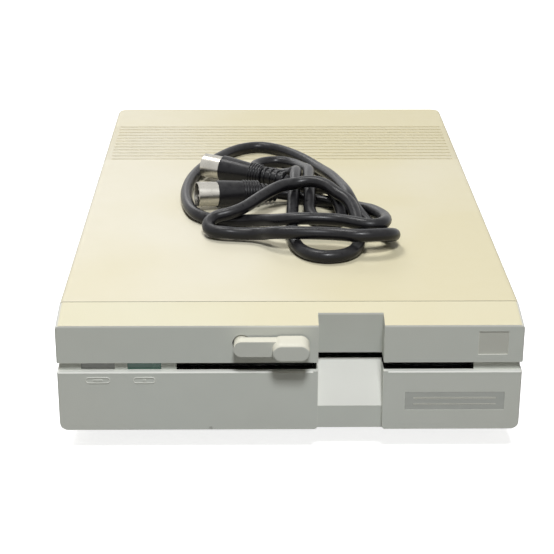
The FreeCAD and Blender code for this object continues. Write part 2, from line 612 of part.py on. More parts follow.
def bottom_case(outer, inner):
    tray = rear_part(outer, 0, CHANNEL_LOW_Z).cut(inner).cut(seam_groove(outer))
    lip = rear_part(case_form(CHANNEL_SIDE_DEPTH), CHANNEL_LOW_Z - 0.5, CHANNEL_HIGH_Z).cut(inner)
    tray = tray.fuse(lip)
    tray = tray.fuse(panel_box(PANEL_Y - WALL, BACK_Y - WALL, WALL)).cut(panel_box(PANEL_Y, BACK_Y + 1, 0))
    for x, y in screw_places():
        tray = tray.fuse(rod(BOSS_R, (x, y, FLOOR_Z), (x, y, CHANNEL_HIGH_Z)))
        tray = tray.cut(rod(SCREW_R + 0.2, (x, y, 0), (x, y, CHANNEL_HIGH_Z + 1)))
        tray = tray.cut(rod(SCREW_HEAD_R + 0.3, (x, y, 0), (x, y, FACE_LOW_Z + SCREW_HEAD)))
    for x, y in mech_posts():
        tray = tray.fuse(rod(BOSS_R, (x, y, FLOOR_Z), (x, y, MECH_LOW_Z)))
    for x, y in board_posts():
        tray = tray.fuse(rod(BOSS_R - 1, (x, y, FLOOR_Z), (x, y, MAIN_BOARD_Z)))
    for cutter in panel_cutters():
        tray = tray.cut(cutter)
    return tray.removeSplitter()


def board_posts():
    """Low pillars under the main board and the power board."""
    inset = 5.0
    main_y = (MAIN_BOARD_FRONT_Y + inset, BOARD_REAR_Y - inset - SOCKET_DEPTH)
    power_y = (POWER_BOARD_FRONT_Y + inset, BOARD_REAR_Y - INLET_DEPTH - inset)
    places = [(x, y) for x in (MAIN_BOARD_LEFT_X + inset, MAIN_BOARD_RIGHT_X - inset) for y in main_y]
    places += [(x, y) for x in (POWER_BOARD_LEFT_X + inset, POWER_BOARD_RIGHT_X - inset) for y in power_y]
    return places


def panel_cutters():
    """Holes in the rear panel for the sockets, the small switches, the mains inlet and the power switch."""
    y0, y1 = PANEL_Y - WALL - 0.01, PANEL_Y + 0.01
    cutters = [rod(SOCKET_R, (x, y0, SOCKET_Z), (x, y1, SOCKET_Z)) for x in SOCKET_XS]
    for x, z, width, height in ((DIP_X, SOCKET_Z, DIP_WIDTH, DIP_HEIGHT),
                                (INLET_X, INLET_Z, INLET_WIDTH, INLET_HEIGHT),
                                (SWITCH_X, SWITCH_Z, SWITCH_WIDTH, SWITCH_HEIGHT)):
        cutters.append(box(x - width / 2, x + width / 2, y0, y1, z - height / 2, z + height / 2))
    return cutters


def foot_places():
    return [(sx * FOOT_X, y) for sx in (-1, 1) for y in (FACE_Y + FOOT_FRONT_Y, BACK_Y - FOOT_REAR_Y)]


def rubber_feet():
    feet = []
    for x, y in foot_places():
        foot = Part.makeCone(FOOT_R - 1, FOOT_R, FOOT_HEIGHT, Vec(x, y, 0))
        feet.append(foot.cut(rod(FOOT_HOLE_R, (x, y, -1), (x, y, FOOT_HOLE_DEPTH))))
    return Part.makeCompound(feet)


def case_screws():
    screws = []
    for x, y in screw_places():
        seat = FACE_LOW_Z + SCREW_HEAD
        head = rod(SCREW_HEAD_R, (x, y, seat - SCREW_HEAD), (x, y, seat))
        screws.append(fuse([head, rod(SCREW_R, (x, y, seat), (x, y, CHANNEL_HIGH_Z + SCREW_BITE))]))
    return Part.makeCompound(screws)


# ---------------------------------------------------------------- lever, its shaft and its cam
def front_lever():
    """A thin arm with a stadium outline, and a taller knob with rounded edges on its free end."""
    back = FACE_Y - LEVER_GAP
    arm_r = LEVER_ARM_HEIGHT / 2
    arm_front = FACE_Y - LEVER_ARM_PROUD
    arm = box(LEVER_X, KNOB_RIGHT_X - arm_r, arm_front, back, LEVER_AXIS_Z - arm_r, LEVER_AXIS_Z + arm_r)
    left_end = rod(arm_r, (LEVER_X, arm_front, LEVER_AXIS_Z), (LEVER_X, back, LEVER_AXIS_Z))
    knob_r = KNOB_HEIGHT / 2
    knob_front = FACE_Y - KNOB_PROUD
    ends = [rod(knob_r, (x, knob_front, LEVER_AXIS_Z), (x, back, LEVER_AXIS_Z))
            for x in (KNOB_LEFT_X + knob_r, KNOB_RIGHT_X - knob_r)]
    middle = box(KNOB_LEFT_X + knob_r, KNOB_RIGHT_X - knob_r, knob_front, back,
                 LEVER_AXIS_Z - knob_r, LEVER_AXIS_Z + knob_r)
    knob = fuse([middle] + ends)
    rim = [edge for edge in knob.Edges if edge.BoundBox.YMax < knob_front + 0.01]
    knob = knob.makeFillet(KNOB_EDGE_R, rim)
    hub_r = LEVER_HOLE_R - LEVER_HUB_GAP
    hub = rod(hub_r, (LEVER_X, back, LEVER_AXIS_Z), (LEVER_X, FACE_Y + WALL, LEVER_AXIS_Z))
    return fuse([arm, left_end, knob, hub]).cut(lever_shaft())


def cam_y():
    return FACE_Y + ARM_FRONT_Y + 1 + CAM_WIDTH / 2


def lever_shaft():
    rear = cam_y() + CAM_WIDTH / 2
    return rod(SHAFT_R, (LEVER_X, FACE_Y - SHAFT_REACH, LEVER_AXIS_Z), (LEVER_X, rear, LEVER_AXIS_Z))


def arm_top_z(y, lift):
    """Height of the clamp arm's upper face at y when the arm stands open by lift degrees."""
    reach = FACE_Y + ARM_HINGE_Y - y
    closed = DISK_Z + ARM_DISK_GAP + ARM_THICK
    return closed + reach * math.tan(math.radians(lift))


def lever_cam():
    """A snail cam that lets the arm rise in step with the lever: its reach grows evenly with its turn."""
    reach_open = LEVER_AXIS_Z - CAM_GAP - arm_top_z(cam_y() - CAM_WIDTH / 2, ARM_LIFT)
    reach_shut = LEVER_AXIS_Z - CAM_GAP - arm_top_z(cam_y() - CAM_WIDTH / 2, 0)
    turn = math.radians(LEVER_TURN)
    slope = (reach_shut - reach_open) / turn
    points = []
    steps = 8
    for count in range(steps + 1):
        angle = turn * count / steps
        reach = reach_open + slope * angle
        x = reach * math.sin(angle) + slope * math.cos(angle)
        z = -reach * math.cos(angle) + slope * math.sin(angle)
        points.append(Vec(LEVER_X + x, cam_y() - CAM_WIDTH / 2, LEVER_AXIS_Z + z))
    face = Part.BSplineCurve()
    face.interpolate(points)
    back_r = SHAFT_R + CAM_WALL
    y = cam_y() - CAM_WIDTH / 2
    over = Vec(LEVER_X + slope, y, LEVER_AXIS_Z + slope + CAM_TIP)
    top = Vec(LEVER_X, y, LEVER_AXIS_Z + back_r)
    left = Vec(LEVER_X - back_r, y, LEVER_AXIS_Z)
    low = Vec(LEVER_X, y, points[0].z)
    upper_bulge = Vec(LEVER_X - back_r * math.sqrt(0.5), y, LEVER_AXIS_Z + back_r * math.sqrt(0.5))
    outline = Part.Wire([
        face.toShape(),
        Part.LineSegment(points[-1], over).toShape(),
        Part.LineSegment(over, top).toShape(),
        Part.Arc(top, upper_bulge, left).toShape(),
        Part.LineSegment(left, low).toShape(),
        Part.LineSegment(low, points[0]).toShape(),
    ])
    cam = Part.Face(outline).extrude(Vec(0, CAM_WIDTH, 0))
    return cam.cut(lever_shaft())


# ---------------------------------------------------------------- chassis of the mechanism
def arm_hinge_z():
    return DISK_Z + ARM_DISK_GAP + ARM_REAR_RISE + ARM_THICK / 2


def drive_chassis():
    """Two side walls, a deck under the disk, bridges with the lever's bearings, and posts for the hinge."""
    x0, x1 = SLOT_X - MECH_WIDTH / 2, SLOT_X + MECH_WIDTH / 2
    wall_top = LEVER_AXIS_Z + 5
    shapes = [box(x0, x0 + MECH_WALL, MECH_Y0, MECH_Y1, MECH_LOW_Z, wall_top),
              box(x1 - MECH_WALL, x1, MECH_Y0, MECH_Y1, MECH_LOW_Z, wall_top),
              box(x0, x1, MECH_Y0, MECH_Y1, DECK_LOW_Z, DECK_TOP_Z)]
    bridge_low = SLOT_HIGH_Z + BRIDGE_RISE
    shapes.append(box(x0, x1, MECH_Y0, MECH_Y0 + BRIDGE_THICK, bridge_low, wall_top))
    bracket_y = FACE_Y + ARM_FRONT_Y - BRACKET_AHEAD
    shapes.append(box(x0, LEVER_X + 7, bracket_y, bracket_y + BRIDGE_THICK, bridge_low, wall_top))
    half = ARM_POST_THICK / 2
    for hinge_x in arm_post_xs():
        shapes.append(box(hinge_x - half, hinge_x + half, hinge_y() - ARM_POST_THICK, hinge_y() + ARM_POST_THICK,
                          DECK_TOP_Z, arm_hinge_z() + 4))
    for side in (-1, 1):
        rod_x = SLOT_X + side * ROD_SPREAD
        for y0 in (rod_front_y() - ROD_HOLDER, MECH_Y1 - ROD_HOLDER):
            shapes.append(box(rod_x - 5, rod_x + 5, y0, y0 + ROD_HOLDER, rod_z() - 5, DECK_LOW_Z))
    chassis = fuse(shapes)
    head_y = head_rest_y()
    window_half = BLOCK_WIDTH / 2 + 5
    chassis = chassis.cut(box(SLOT_X - window_half, SLOT_X + window_half, rod_front_y(), MECH_Y1 - ROD_HOLDER,
                              DECK_LOW_Z - 1, DECK_TOP_Z + 1))
    chassis = chassis.cut(box(SLOT_X - 12, SLOT_X + 12, head_y - TRACK_TRAVEL - HEAD_R - 3, rod_front_y() + 1,
                              DECK_LOW_Z - 1, DECK_TOP_Z + 1))
    bearing_hole = rod(BEARING_NECK_R, (SLOT_X, SPINDLE_AT_Y, 0), (SLOT_X, SPINDLE_AT_Y, DECK_TOP_Z + 1))
    chassis = chassis.cut(bearing_hole)
    chassis = chassis.cut(rod(CAPSTAN_R + 1.5, (STEPPER_X, FACE_Y + STEPPER_Y, DECK_LOW_Z - 1),
                              (STEPPER_X, FACE_Y + STEPPER_Y, DECK_TOP_Z + 1)))
    chassis = chassis.cut(rod(SHAFT_R + RUN_CLEARANCE, (LEVER_X, MECH_Y0 - 1, LEVER_AXIS_Z),
                              (LEVER_X, bracket_y + 5, LEVER_AXIS_Z)))
    for side in (-1, 1):
        rod_x = SLOT_X + side * ROD_SPREAD
        chassis = chassis.cut(rod(ROD_R, (rod_x, rod_front_y() - ROD_HOLDER, rod_z()), (rod_x, MECH_Y1, rod_z())))
    for hinge_x in arm_post_xs():
        chassis = chassis.cut(rod(ARM_PIN_R, (hinge_x - 3, hinge_y(), arm_hinge_z()),
                                  (hinge_x + 3, hinge_y(), arm_hinge_z())))
    return chassis.removeSplitter()


def hinge_y():
    return FACE_Y + ARM_HINGE_Y


def arm_post_xs():
    out = ARM_WIDTH / 2 + 3.8
    return (SLOT_X - out, SLOT_X + out)


def arm_pins():
    pins = []
    for side, post_x in zip((-1, 1), arm_post_xs()):
        inner_x = SLOT_X + side * (ARM_WIDTH / 2 - ARM_LEG)
        outer_x = post_x + side * ARM_POST_THICK / 2
        pins.append(rod(ARM_PIN_R, (outer_x, hinge_y(), arm_hinge_z()), (inner_x, hinge_y(), arm_hinge_z())))
    return Part.makeCompound(pins)


def disk_guides():
    """Two C-shaped rails: the disk's edges run between a lower and an upper ledge."""
    rails = []
    for side in (-1, 1):
        channel = SLOT_X + side * (DISK_WIDTH / 2 + GUIDE_CLEARANCE)
        wall = SLOT_X + side * (MECH_WIDTH / 2 - MECH_WALL)
        ledge = channel - side * GUIDE_LEDGE
        y0, y1 = MECH_Y0, FACE_Y + DISK_STOP_Y + 4
        low = box(min(ledge, wall), max(ledge, wall), y0, y1, DECK_TOP_Z, DISK_Z - 0.1)
        back = box(min(channel, wall), max(channel, wall), y0, y1, DISK_Z - 0.1, SLOT_HIGH_Z)
        high = box(min(ledge, wall), max(ledge, wall), y0, y1, SLOT_HIGH_Z, SLOT_HIGH_Z + GUIDE_LEDGE_THICK)
        rails.append(fuse([low, back, high]))
    return Part.makeCompound(rails)


# ---------------------------------------------------------------- spindle and its motor
def hub_top_z():
    return DISK_Z - 0.1


def board_low_z():
    return DECK_LOW_Z - 4.4 - BOARD_THICK


def rotor_low_z():
    return board_low_z() - COIL_THICK - 0.7 - MAGNET_THICK - ROTOR_THICK


def spindle_bearing():
    low = board_low_z() + BOARD_THICK
    flange = rod(BEARING_R, (SLOT_X, SPINDLE_AT_Y, low), (SLOT_X, SPINDLE_AT_Y, DECK_LOW_Z))
    neck = rod(BEARING_NECK_R, (SLOT_X, SPINDLE_AT_Y, board_low_z() - 0.5),
               (SLOT_X, SPINDLE_AT_Y, hub_top_z() - HUB_THICK - 0.3))
    bore = rod(SPINDLE_R + RUN_CLEARANCE, (SLOT_X, SPINDLE_AT_Y, 0), (SLOT_X, SPINDLE_AT_Y, TOP_Z))
    return fuse([flange, neck]).cut(bore)


def spindle_hub():
    """A flat rim that the disk lies on, a cup for the clamp's cone, and the shaft."""
    top = hub_top_z()
    disc = rod(HUB_R, (SLOT_X, SPINDLE_AT_Y, top - HUB_THICK), (SLOT_X, SPINDLE_AT_Y, top))
    cup_floor = top - CONE_DEPTH - 0.4
    cup = rod(HUB_CUP_R, (SLOT_X, SPINDLE_AT_Y, cup_floor), (SLOT_X, SPINDLE_AT_Y, top + 1))
    shaft = rod(SPINDLE_R, (SLOT_X, SPINDLE_AT_Y, rotor_low_z()), (SLOT_X, SPINDLE_AT_Y, cup_floor))
    return fuse([disc.cut(cup), shaft])


def spindle_rotor():
    low = rotor_low_z()
    disc = rod(ROTOR_R, (SLOT_X, SPINDLE_AT_Y, low), (SLOT_X, SPINDLE_AT_Y, low + ROTOR_THICK))
    return disc.cut(rod(SPINDLE_R, (SLOT_X, SPINDLE_AT_Y, 0), (SLOT_X, SPINDLE_AT_Y, TOP_Z)))


def rotor_magnet():
    low = rotor_low_z() + ROTOR_THICK
    ring = rod(ROTOR_R - 1, (SLOT_X, SPINDLE_AT_Y, low), (SLOT_X, SPINDLE_AT_Y, low + MAGNET_THICK))
    return ring.cut(rod(MAGNET_INNER_R, (SLOT_X, SPINDLE_AT_Y, low - 1), (SLOT_X, SPINDLE_AT_Y, TOP_Z)))


def motor_board():
    low = board_low_z()
    plate = box(SLOT_X - 42, SLOT_X + 42, SPINDLE_AT_Y - 38, SPINDLE_AT_Y + 25, low, low + BOARD_THICK)
    return plate.cut(rod(BEARING_NECK_R, (SLOT_X, SPINDLE_AT_Y, 0), (SLOT_X, SPINDLE_AT_Y, TOP_Z)))


def stator_coils():
    coils = []
    high = board_low_z()
    for count in range(COIL_COUNT):
        angle = 2 * math.pi * count / COIL_COUNT
        x, y = SLOT_X + COIL_RING_R * math.cos(angle), SPINDLE_AT_Y + COIL_RING_R * math.sin(angle)
        coil = rod(COIL_R, (x, y, high - COIL_THICK), (x, y, high))
        coils.append(coil.cut(rod(COIL_HOLE_R, (x, y, high - COIL_THICK), (x, y, high))))
    return Part.makeCompound(coils)


# ---------------------------------------------------------------- clamp arm
def open_arm(shape):
    """Lifts a piece of the clamp arm from its closed place to the open one, where the drive rests."""
    return turned(shape, (0, hinge_y(), arm_hinge_z()), (1, 0, 0), -ARM_LIFT)


def clamp_arm():
    """A stepped sheet-metal fork: its two legs are hinged behind the disk and its plate carries the clamp."""
    low = DISK_Z + ARM_DISK_GAP
    high = low + ARM_REAR_RISE
    y_end = hinge_y() + 4
    y_step, y_plate, y_front = (FACE_Y + y for y in (ARM_STEP_Y, ARM_PLATE_Y, ARM_FRONT_Y))
    under = [(y_end, high), (y_step, high), (y_plate, low), (y_front, low)]
    over = [(y, z + ARM_THICK) for y, z in reversed(under)]
    half = ARM_WIDTH / 2
    sheet = side_profile(under + over, SLOT_X - half, SLOT_X + half)
    gap = half - ARM_LEG
    sheet = sheet.cut(box(SLOT_X - gap, SLOT_X + gap, SPINDLE_AT_Y + 30, y_end + 1, 0, TOP_Z))
    barrels = [rod(ARM_PIN_R + ARM_BARREL_WALL, (SLOT_X + side * half, hinge_y(), arm_hinge_z()),
                   (SLOT_X + side * gap, hinge_y(), arm_hinge_z())) for side in (-1, 1)]
    flanges = [box(x, x + ARM_THICK, y_front + 14, y_plate, low, low + 5)
               for x in (SLOT_X - half, SLOT_X + half - ARM_THICK)]
    arm = fuse([sheet] + barrels + flanges)
    arm = arm.cut(rod(ARM_PIN_R + RUN_CLEARANCE, (SLOT_X - half - 1, hinge_y(), arm_hinge_z()),
                      (SLOT_X + half + 1, hinge_y(), arm_hinge_z())))
    over_plate = low + ARM_THICK + 1
    hole = rod(SPINDLE_R + RUN_CLEARANCE, (SLOT_X, SPINDLE_AT_Y, low - 1), (SLOT_X, SPINDLE_AT_Y, over_plate))
    return open_arm(arm.cut(hole))


def clamp_hub():
    """The clamp's cone, its rim and its shaft, which turn in the arm's plate."""
    plate_low = DISK_Z + ARM_DISK_GAP
    rim_low = hub_top_z() + 0.4
    profile = [(0, hub_top_z() - CONE_DEPTH), (CONE_R - 1, hub_top_z() - CONE_DEPTH), (CONE_R, rim_low),
               (HUB_R, rim_low), (HUB_R, plate_low - 0.2), (SPINDLE_R, plate_low - 0.2),
               (SPINDLE_R, plate_low + ARM_THICK + 0.2), (SPINDLE_R + 2, plate_low + ARM_THICK + 0.2),
               (SPINDLE_R + 2, plate_low + ARM_THICK + 1.4), (0, plate_low + ARM_THICK + 1.4)]
    corners = [Vec(SLOT_X + r, SPINDLE_AT_Y, z) for r, z in profile]
    hub = Part.Face(Part.makePolygon(corners + corners[:1])).revolve(
        Vec(SLOT_X, SPINDLE_AT_Y, 0), Vec(0, 0, 1), 360)
    return open_arm(hub)


def clamp_spring():
    """A leaf spring, riveted to the arm's plate, that leads over the clamp's shaft."""
    z = DISK_Z + ARM_DISK_GAP + ARM_THICK
    over = z + 1.4 + 0.3
    y0, y1 = SPINDLE_AT_Y - 8, SPINDLE_AT_Y + 22
    points = [(y1, z), (y1 - 8, z), (y1 - 12, over), (y0, over)]
    strip = points + [(y, h + 0.4) for y, h in reversed(points)]
    return open_arm(side_profile(strip, SLOT_X - 5, SLOT_X + 5))


# ---------------------------------------------------------------- head carriage
def head_rest_y():
    return SPINDLE_AT_Y + TRACK_OUT


def rod_front_y():
    return SPINDLE_AT_Y + TRACK_OUT - TRACK_TRAVEL - HEAD_R + 2.5


def rod_z():
    return DECK_LOW_Z - 3.5


def guide_rods():
    rods = []
    for side in (-1, 1):
        x = SLOT_X + side * ROD_SPREAD
        rods.append(rod(ROD_R, (x, rod_front_y() - ROD_HOLDER, rod_z()), (x, MECH_Y1, rod_z())))
    return Part.makeCompound(rods)


def block_y():
    return head_rest_y() + HEAD_R + 2


def head_hinge():
    return (head_rest_y() + HEAD_ARM_LENGTH, hub_top_z() + 7.8)


def head_carriage():
    """A block on two rods, with a tongue under the disk, two ears for the upper arm and a band bar."""
    z0, z1 = rod_z() - 5, DECK_TOP_Z - 1
    y0, y1 = block_y(), block_y() + BLOCK_LENGTH
    half = BLOCK_WIDTH / 2
    block = box(SLOT_X - half, SLOT_X + half, y0, y1, z0, z1)
    tongue = box(SLOT_X - 7, SLOT_X + 7, head_rest_y() - HEAD_R, y0, DECK_LOW_Z + 0.5, z1)
    hinge_at_y, hinge_at_z = head_hinge()
    ears = [box(SLOT_X + x, SLOT_X + x + 3, hinge_at_y - 4, y1, z1, hinge_at_z + 3.5) for x in (-11, 8)]
    riser = box(SLOT_X + half - 4, SLOT_X + half, y1 - 10, y1, z1, band_z() + 2)
    reach = box(SLOT_X + half - 4, band_x() - 2, y1 - 10, y1, DECK_TOP_Z + 1.5, band_z() + 2)
    bar = box(band_x() - 3, band_x(), y1 - 10, band_span()[1], DECK_TOP_Z + 1.5, band_z() + 2)
    carriage = fuse([block, tongue, riser, reach, bar] + ears)
    for side in (-1, 1):
        x = SLOT_X + side * ROD_SPREAD
        carriage = carriage.cut(rod(ROD_R + RUN_CLEARANCE, (x, y0 - 1, rod_z()), (x, y1 + 1, rod_z())))
    pin = rod(ARM_PIN_R, (SLOT_X - 12, hinge_at_y, hinge_at_z), (SLOT_X + 12, hinge_at_y, hinge_at_z))
    return carriage.cut(pin)


def band_x():
    return STEPPER_X - CAPSTAN_R - BAND_GAP - BAND_THICK


def band_z():
    return DECK_TOP_Z + 4


def band_span():
    """The band reaches past the capstan at both ends of the carriage's travel."""
    y0 = FACE_Y + STEPPER_Y - 2.5
    return y0, y0 + TRACK_TRAVEL + 5


def positioner_band():
    y0, y1 = band_span()
    return box(band_x(), band_x() + BAND_THICK, y0, y1, band_z() - 2, band_z() + 2)


def head_form(z0, z1):
    return rod(HEAD_R, (SLOT_X, head_rest_y(), z0), (SLOT_X, head_rest_y(), z1))


def lower_head():
    return head_form(DECK_TOP_Z - 1, hub_top_z() - 0.05)


def upper_arm_pin():
    y, z = head_hinge()
    return rod(ARM_PIN_R, (SLOT_X - 11, y, z), (SLOT_X + 11, y, z))


def lift_head_arm(shape):
    y, z = head_hinge()
    return turned(shape, (0, y, z), (1, 0, 0), -HEAD_ARM_LIFT)


def upper_head_arm():
    y, z = head_hinge()
    beam = box(SLOT_X - 5, SLOT_X + 5, head_rest_y() - HEAD_R, y, z - 2.6, z + 0.4)
    pad = box(SLOT_X - 6.5, SLOT_X + 6.5, head_rest_y() - HEAD_R - 1, head_rest_y() + 12, z - 2.6, z - 0.6)
    barrel = rod(ARM_PIN_R + 1.5, (SLOT_X - 7.6, y, z), (SLOT_X + 7.6, y, z))
    arm = fuse([beam, pad, barrel])
    bore = rod(ARM_PIN_R + RUN_CLEARANCE, (SLOT_X - 9, y, z), (SLOT_X + 9, y, z))
    return lift_head_arm(arm.cut(bore))


def upper_head():
    z = head_hinge()[1] - 2.6
    return lift_head_arm(head_form(hub_top_z() + DISK_THICK / 2 + 0.6, z))


def stepper_motor():
    x, y = STEPPER_X, FACE_Y + STEPPER_Y
    low = MECH_LOW_Z + 0.5
    can = rod(STEPPER_R, (x, y, low), (x, y, DECK_LOW_Z))
    return can.cut(rod(SPINDLE_R + RUN_CLEARANCE, (x, y, low + 3), (x, y, DECK_LOW_Z)))


def stepper_capstan():
    x, y = STEPPER_X, FACE_Y + STEPPER_Y
    drum = rod(CAPSTAN_R, (x, y, DECK_LOW_Z + 1), (x, y, band_z() + 2.6))
    shaft = rod(SPINDLE_R, (x, y, MECH_LOW_Z + 4), (x, y, DECK_LOW_Z + 1))
    drum = fuse([drum, shaft])
    return drum.cut(box(x + 3, x + CAPSTAN_R, y - 0.6, y + 0.6, band_z(), band_z() + 4))


def sensors():
    """The write-protect sensor beside the disk, the index sensor by the hub, and the track-zero sensor."""
    left = SLOT_X - DISK_WIDTH / 2 + 8
    protect = box(left, left + 6, FACE_Y + 50, FACE_Y + 60, DECK_TOP_Z, DISK_Z - 0.3)
    index = box(SLOT_X + 22, SLOT_X + 28, SPINDLE_AT_Y + 8, SPINDLE_AT_Y + 14, DECK_TOP_Z, DISK_Z - 0.3)
    zero = box(SLOT_X - 42, SLOT_X - 32, MECH_Y1 - 24, MECH_Y1 - 18, DECK_TOP_Z, DECK_TOP_Z + 7)
    return Part.makeCompound([protect, index, zero])


# ---------------------------------------------------------------- boards and power supply
def main_board():
    board = box(MAIN_BOARD_LEFT_X, MAIN_BOARD_RIGHT_X, MAIN_BOARD_FRONT_Y, BOARD_REAR_Y,
                MAIN_BOARD_Z, MAIN_BOARD_TOP_Z)
    for x, y in mech_posts():
        board = board.cut(rod(BOSS_R + 0.5, (x, y, 0), (x, y, TOP_Z)))
    for x, y in screw_places():
        board = board.cut(rod(BOSS_R + 0.5, (x, y, 0), (x, y, TOP_Z)))
    return board


def board_chips():
    """Rows of chips in long and short packages on the main board, with gaps where a pillar stands."""
    chips = []
    width = MAIN_BOARD_RIGHT_X - MAIN_BOARD_LEFT_X
    row_pitch = (BOARD_REAR_Y - MAIN_BOARD_FRONT_Y) / (CHIP_ROWS + 1.4)
    pillars = mech_posts() + screw_places()
    for row in range(CHIP_ROWS):
        y = MAIN_BOARD_FRONT_Y + (row + 0.6) * row_pitch
        for column, share in enumerate(CHIP_COLUMN_SHARES):
            x = MAIN_BOARD_LEFT_X + share * width
            is_long = (row + column) % 3 == 0
            half_x = (CHIP_WIDE if is_long else CHIP_NARROW) / 2
            half_y = (CHIP_LONG if is_long else CHIP_SHORT) / 2
            clear = BOSS_R + 1
            if any(abs(x - px) < half_x + clear and abs(y - py) < half_y + clear for px, py in pillars):
                continue
            chips.append(box(x - half_x, x + half_x, y - half_y, y + half_y,
                             MAIN_BOARD_TOP_Z, MAIN_BOARD_TOP_Z + CHIP_THICK))
    return Part.makeCompound(chips)


def shield_plate():
    """A thin plate between the main board and the mechanism, on two folded edges."""
    x0, x1 = MAIN_BOARD_LEFT_X + SHIELD_INSET, MAIN_BOARD_RIGHT_X - SHIELD_INSET
    y0, y1 = MECH_Y0 + SHIELD_FRONT_GAP, MECH_Y1 - SHIELD_REAR_GAP
    z = MAIN_BOARD_TOP_Z + SHIELD_HEIGHT
    sheet = [box(x0, x1, y0, y1, z, z + SHIELD_THICK),
             box(x0, x0 + SHIELD_THICK, y0, y1, MAIN_BOARD_TOP_Z, z),
             box(x1 - SHIELD_THICK, x1, y0, y1, MAIN_BOARD_TOP_Z, z)]
    return fuse(sheet)


def power_board():
    board = box(POWER_BOARD_LEFT_X, POWER_BOARD_RIGHT_X, POWER_BOARD_FRONT_Y, POWER_BOARD_REAR_Y,
                MAIN_BOARD_Z, MAIN_BOARD_TOP_Z)
    for x, y in screw_places():
        board = board.cut(rod(BOSS_R + 0.5, (x, y, 0), (x, y, TOP_Z)))
    return board


def power_transformer():
    """An iron core across a square winding."""
    middle_x = POWER_BOARD_LEFT_X + POWER_SIDE_GAP + CORE_LENGTH / 2
    middle_y = POWER_BOARD_FRONT_Y + POWER_FRONT_GAP + WINDING_SIZE[1] / 2
    z = MAIN_BOARD_TOP_Z
    core = box(middle_x - CORE_LENGTH / 2, middle_x + CORE_LENGTH / 2,
               middle_y - CORE_DEPTH / 2, middle_y + CORE_DEPTH / 2, z, z + CORE_HEIGHT)
    winding = box(middle_x - WINDING_SIZE[0] / 2, middle_x + WINDING_SIZE[0] / 2,
                  middle_y - WINDING_SIZE[1] / 2, middle_y + WINDING_SIZE[1] / 2, z, z + WINDING_SIZE[2])
    return fuse([core, winding])


def power_capacitors():
    """Two large capacitors at the board's right edge and two small ones behind the transformer."""
    caps = []
    big_x = POWER_BOARD_RIGHT_X - CAP_SIDE_GAP
    big_y = POWER_BOARD_FRONT_Y + POWER_FRONT_GAP
    small_x = big_x - SMALL_CAP_INSET
    small_y = POWER_BOARD_FRONT_Y + SMALL_CAP_Y
    for x, y, (r, height) in ((big_x, big_y, BIG_CAP), (big_x, big_y + BIG_CAP_PITCH, BIG_CAP),
                              (small_x, small_y, SMALL_CAP), (small_x - SMALL_CAP_PITCH, small_y, SMALL_CAP)):
        caps.append(rod(r, (x, y, MAIN_BOARD_TOP_Z), (x, y, MAIN_BOARD_TOP_Z + height)))
    return Part.makeCompound(caps)


def power_heat_sink():
    """A black plate with upright fins, across the rear of the power board."""
    x0, y0 = POWER_BOARD_LEFT_X + POWER_SIDE_GAP, POWER_BOARD_FRONT_Y + SINK_Y
    z0, z1 = MAIN_BOARD_TOP_Z, MAIN_BOARD_TOP_Z + SINK_HEIGHT
    parts = [box(x0, x0 + SINK_WIDTH, y0, y0 + SINK_BASE, z0, z1)]
    pitch = (SINK_WIDTH - SINK_FIN_THICK) / (SINK_FINS - 1)
    for count in range(SINK_FINS):
        x = x0 + count * pitch
        parts.append(box(x, x + SINK_FIN_THICK, y0 + SINK_BASE, y0 + SINK_BASE + SINK_FIN_REACH, z0, z1))
    return fuse(parts)


# ---------------------------------------------------------------- rear panel
def socket_front_y():
    return PANEL_Y + SOCKET_PROUD


def serial_socket(x):
    """The housing of a round socket: a ring through the panel, on a square block on the main board."""
    half = SOCKET_BODY / 2
    y1 = PANEL_Y - WALL
    body = box(x - half, x + half, y1 - SOCKET_DEPTH, y1, SOCKET_Z - half, SOCKET_Z + half)
    foot = box(x - half, x + half, y1 - SOCKET_DEPTH, BOARD_REAR_Y, MAIN_BOARD_TOP_Z, SOCKET_Z - half)
    nose = rod(SOCKET_R, (x, y1, SOCKET_Z), (x, socket_front_y(), SOCKET_Z))
    cavity = rod(SOCKET_CAVITY_R, (x, socket_front_y() - SOCKET_CAVITY_DEPTH, SOCKET_Z),
                 (x, socket_front_y() + 1, SOCKET_Z))
    return fuse([body, foot, nose]).cut(cavity)


def socket_inserts():
    """The two cores with their pin holes, standing on the floors of the sockets."""
    cores = []
    for x in SOCKET_XS:
        face = socket_front_y() - SOCKET_CORE_SETBACK
        core = rod(SOCKET_CORE_R, (x, socket_front_y() - SOCKET_CAVITY_DEPTH, SOCKET_Z), (x, face, SOCKET_Z))
        for px, pz in pin_places(x, SOCKET_Z):
            core = core.cut(rod(PIN_HOLE_R, (px, face - PIN_HOLE_DEPTH, pz), (px, face + 1, pz)))
        cores.append(core)
    return Part.makeCompound(cores)


def pin_places(x, z):
    """Five pins on an arc that is open below, and one in the middle."""
    places = [(x, z)]
    for count in range(PIN_COUNT - 1):
        angle = math.radians(-30 + 240 * count / (PIN_COUNT - 2))
        places.append((x + PIN_RING_R * math.cos(angle), z + PIN_RING_R * math.sin(angle)))
    return places


def mode_switch_body():
    half = DIP_WIDTH / 2
    z0, z1 = SOCKET_Z - DIP_HEIGHT / 2, SOCKET_Z + DIP_HEIGHT / 2
    body = box(DIP_X - half, DIP_X + half, PANEL_Y - DIP_DEPTH, PANEL_Y, z0, z1)
    foot = box(DIP_X - half, DIP_X + half, PANEL_Y - DIP_DEPTH - 2, PANEL_Y - DIP_DEPTH, MAIN_BOARD_TOP_Z, z1)
    whole = fuse([body, foot])
    reach = (DIP_SLIDER + DIP_TRAVEL) / 2 + 0.3
    half_z = DIP_SLIDER / 2 + DIP_SLOT_CLEARANCE
    for z in dip_heights():
        whole = whole.cut(box(DIP_X - reach, DIP_X + reach, PANEL_Y - DIP_SLIDER_DEPTH - 0.1, PANEL_Y + 1,
                              z - half_z, z + half_z))
    return whole


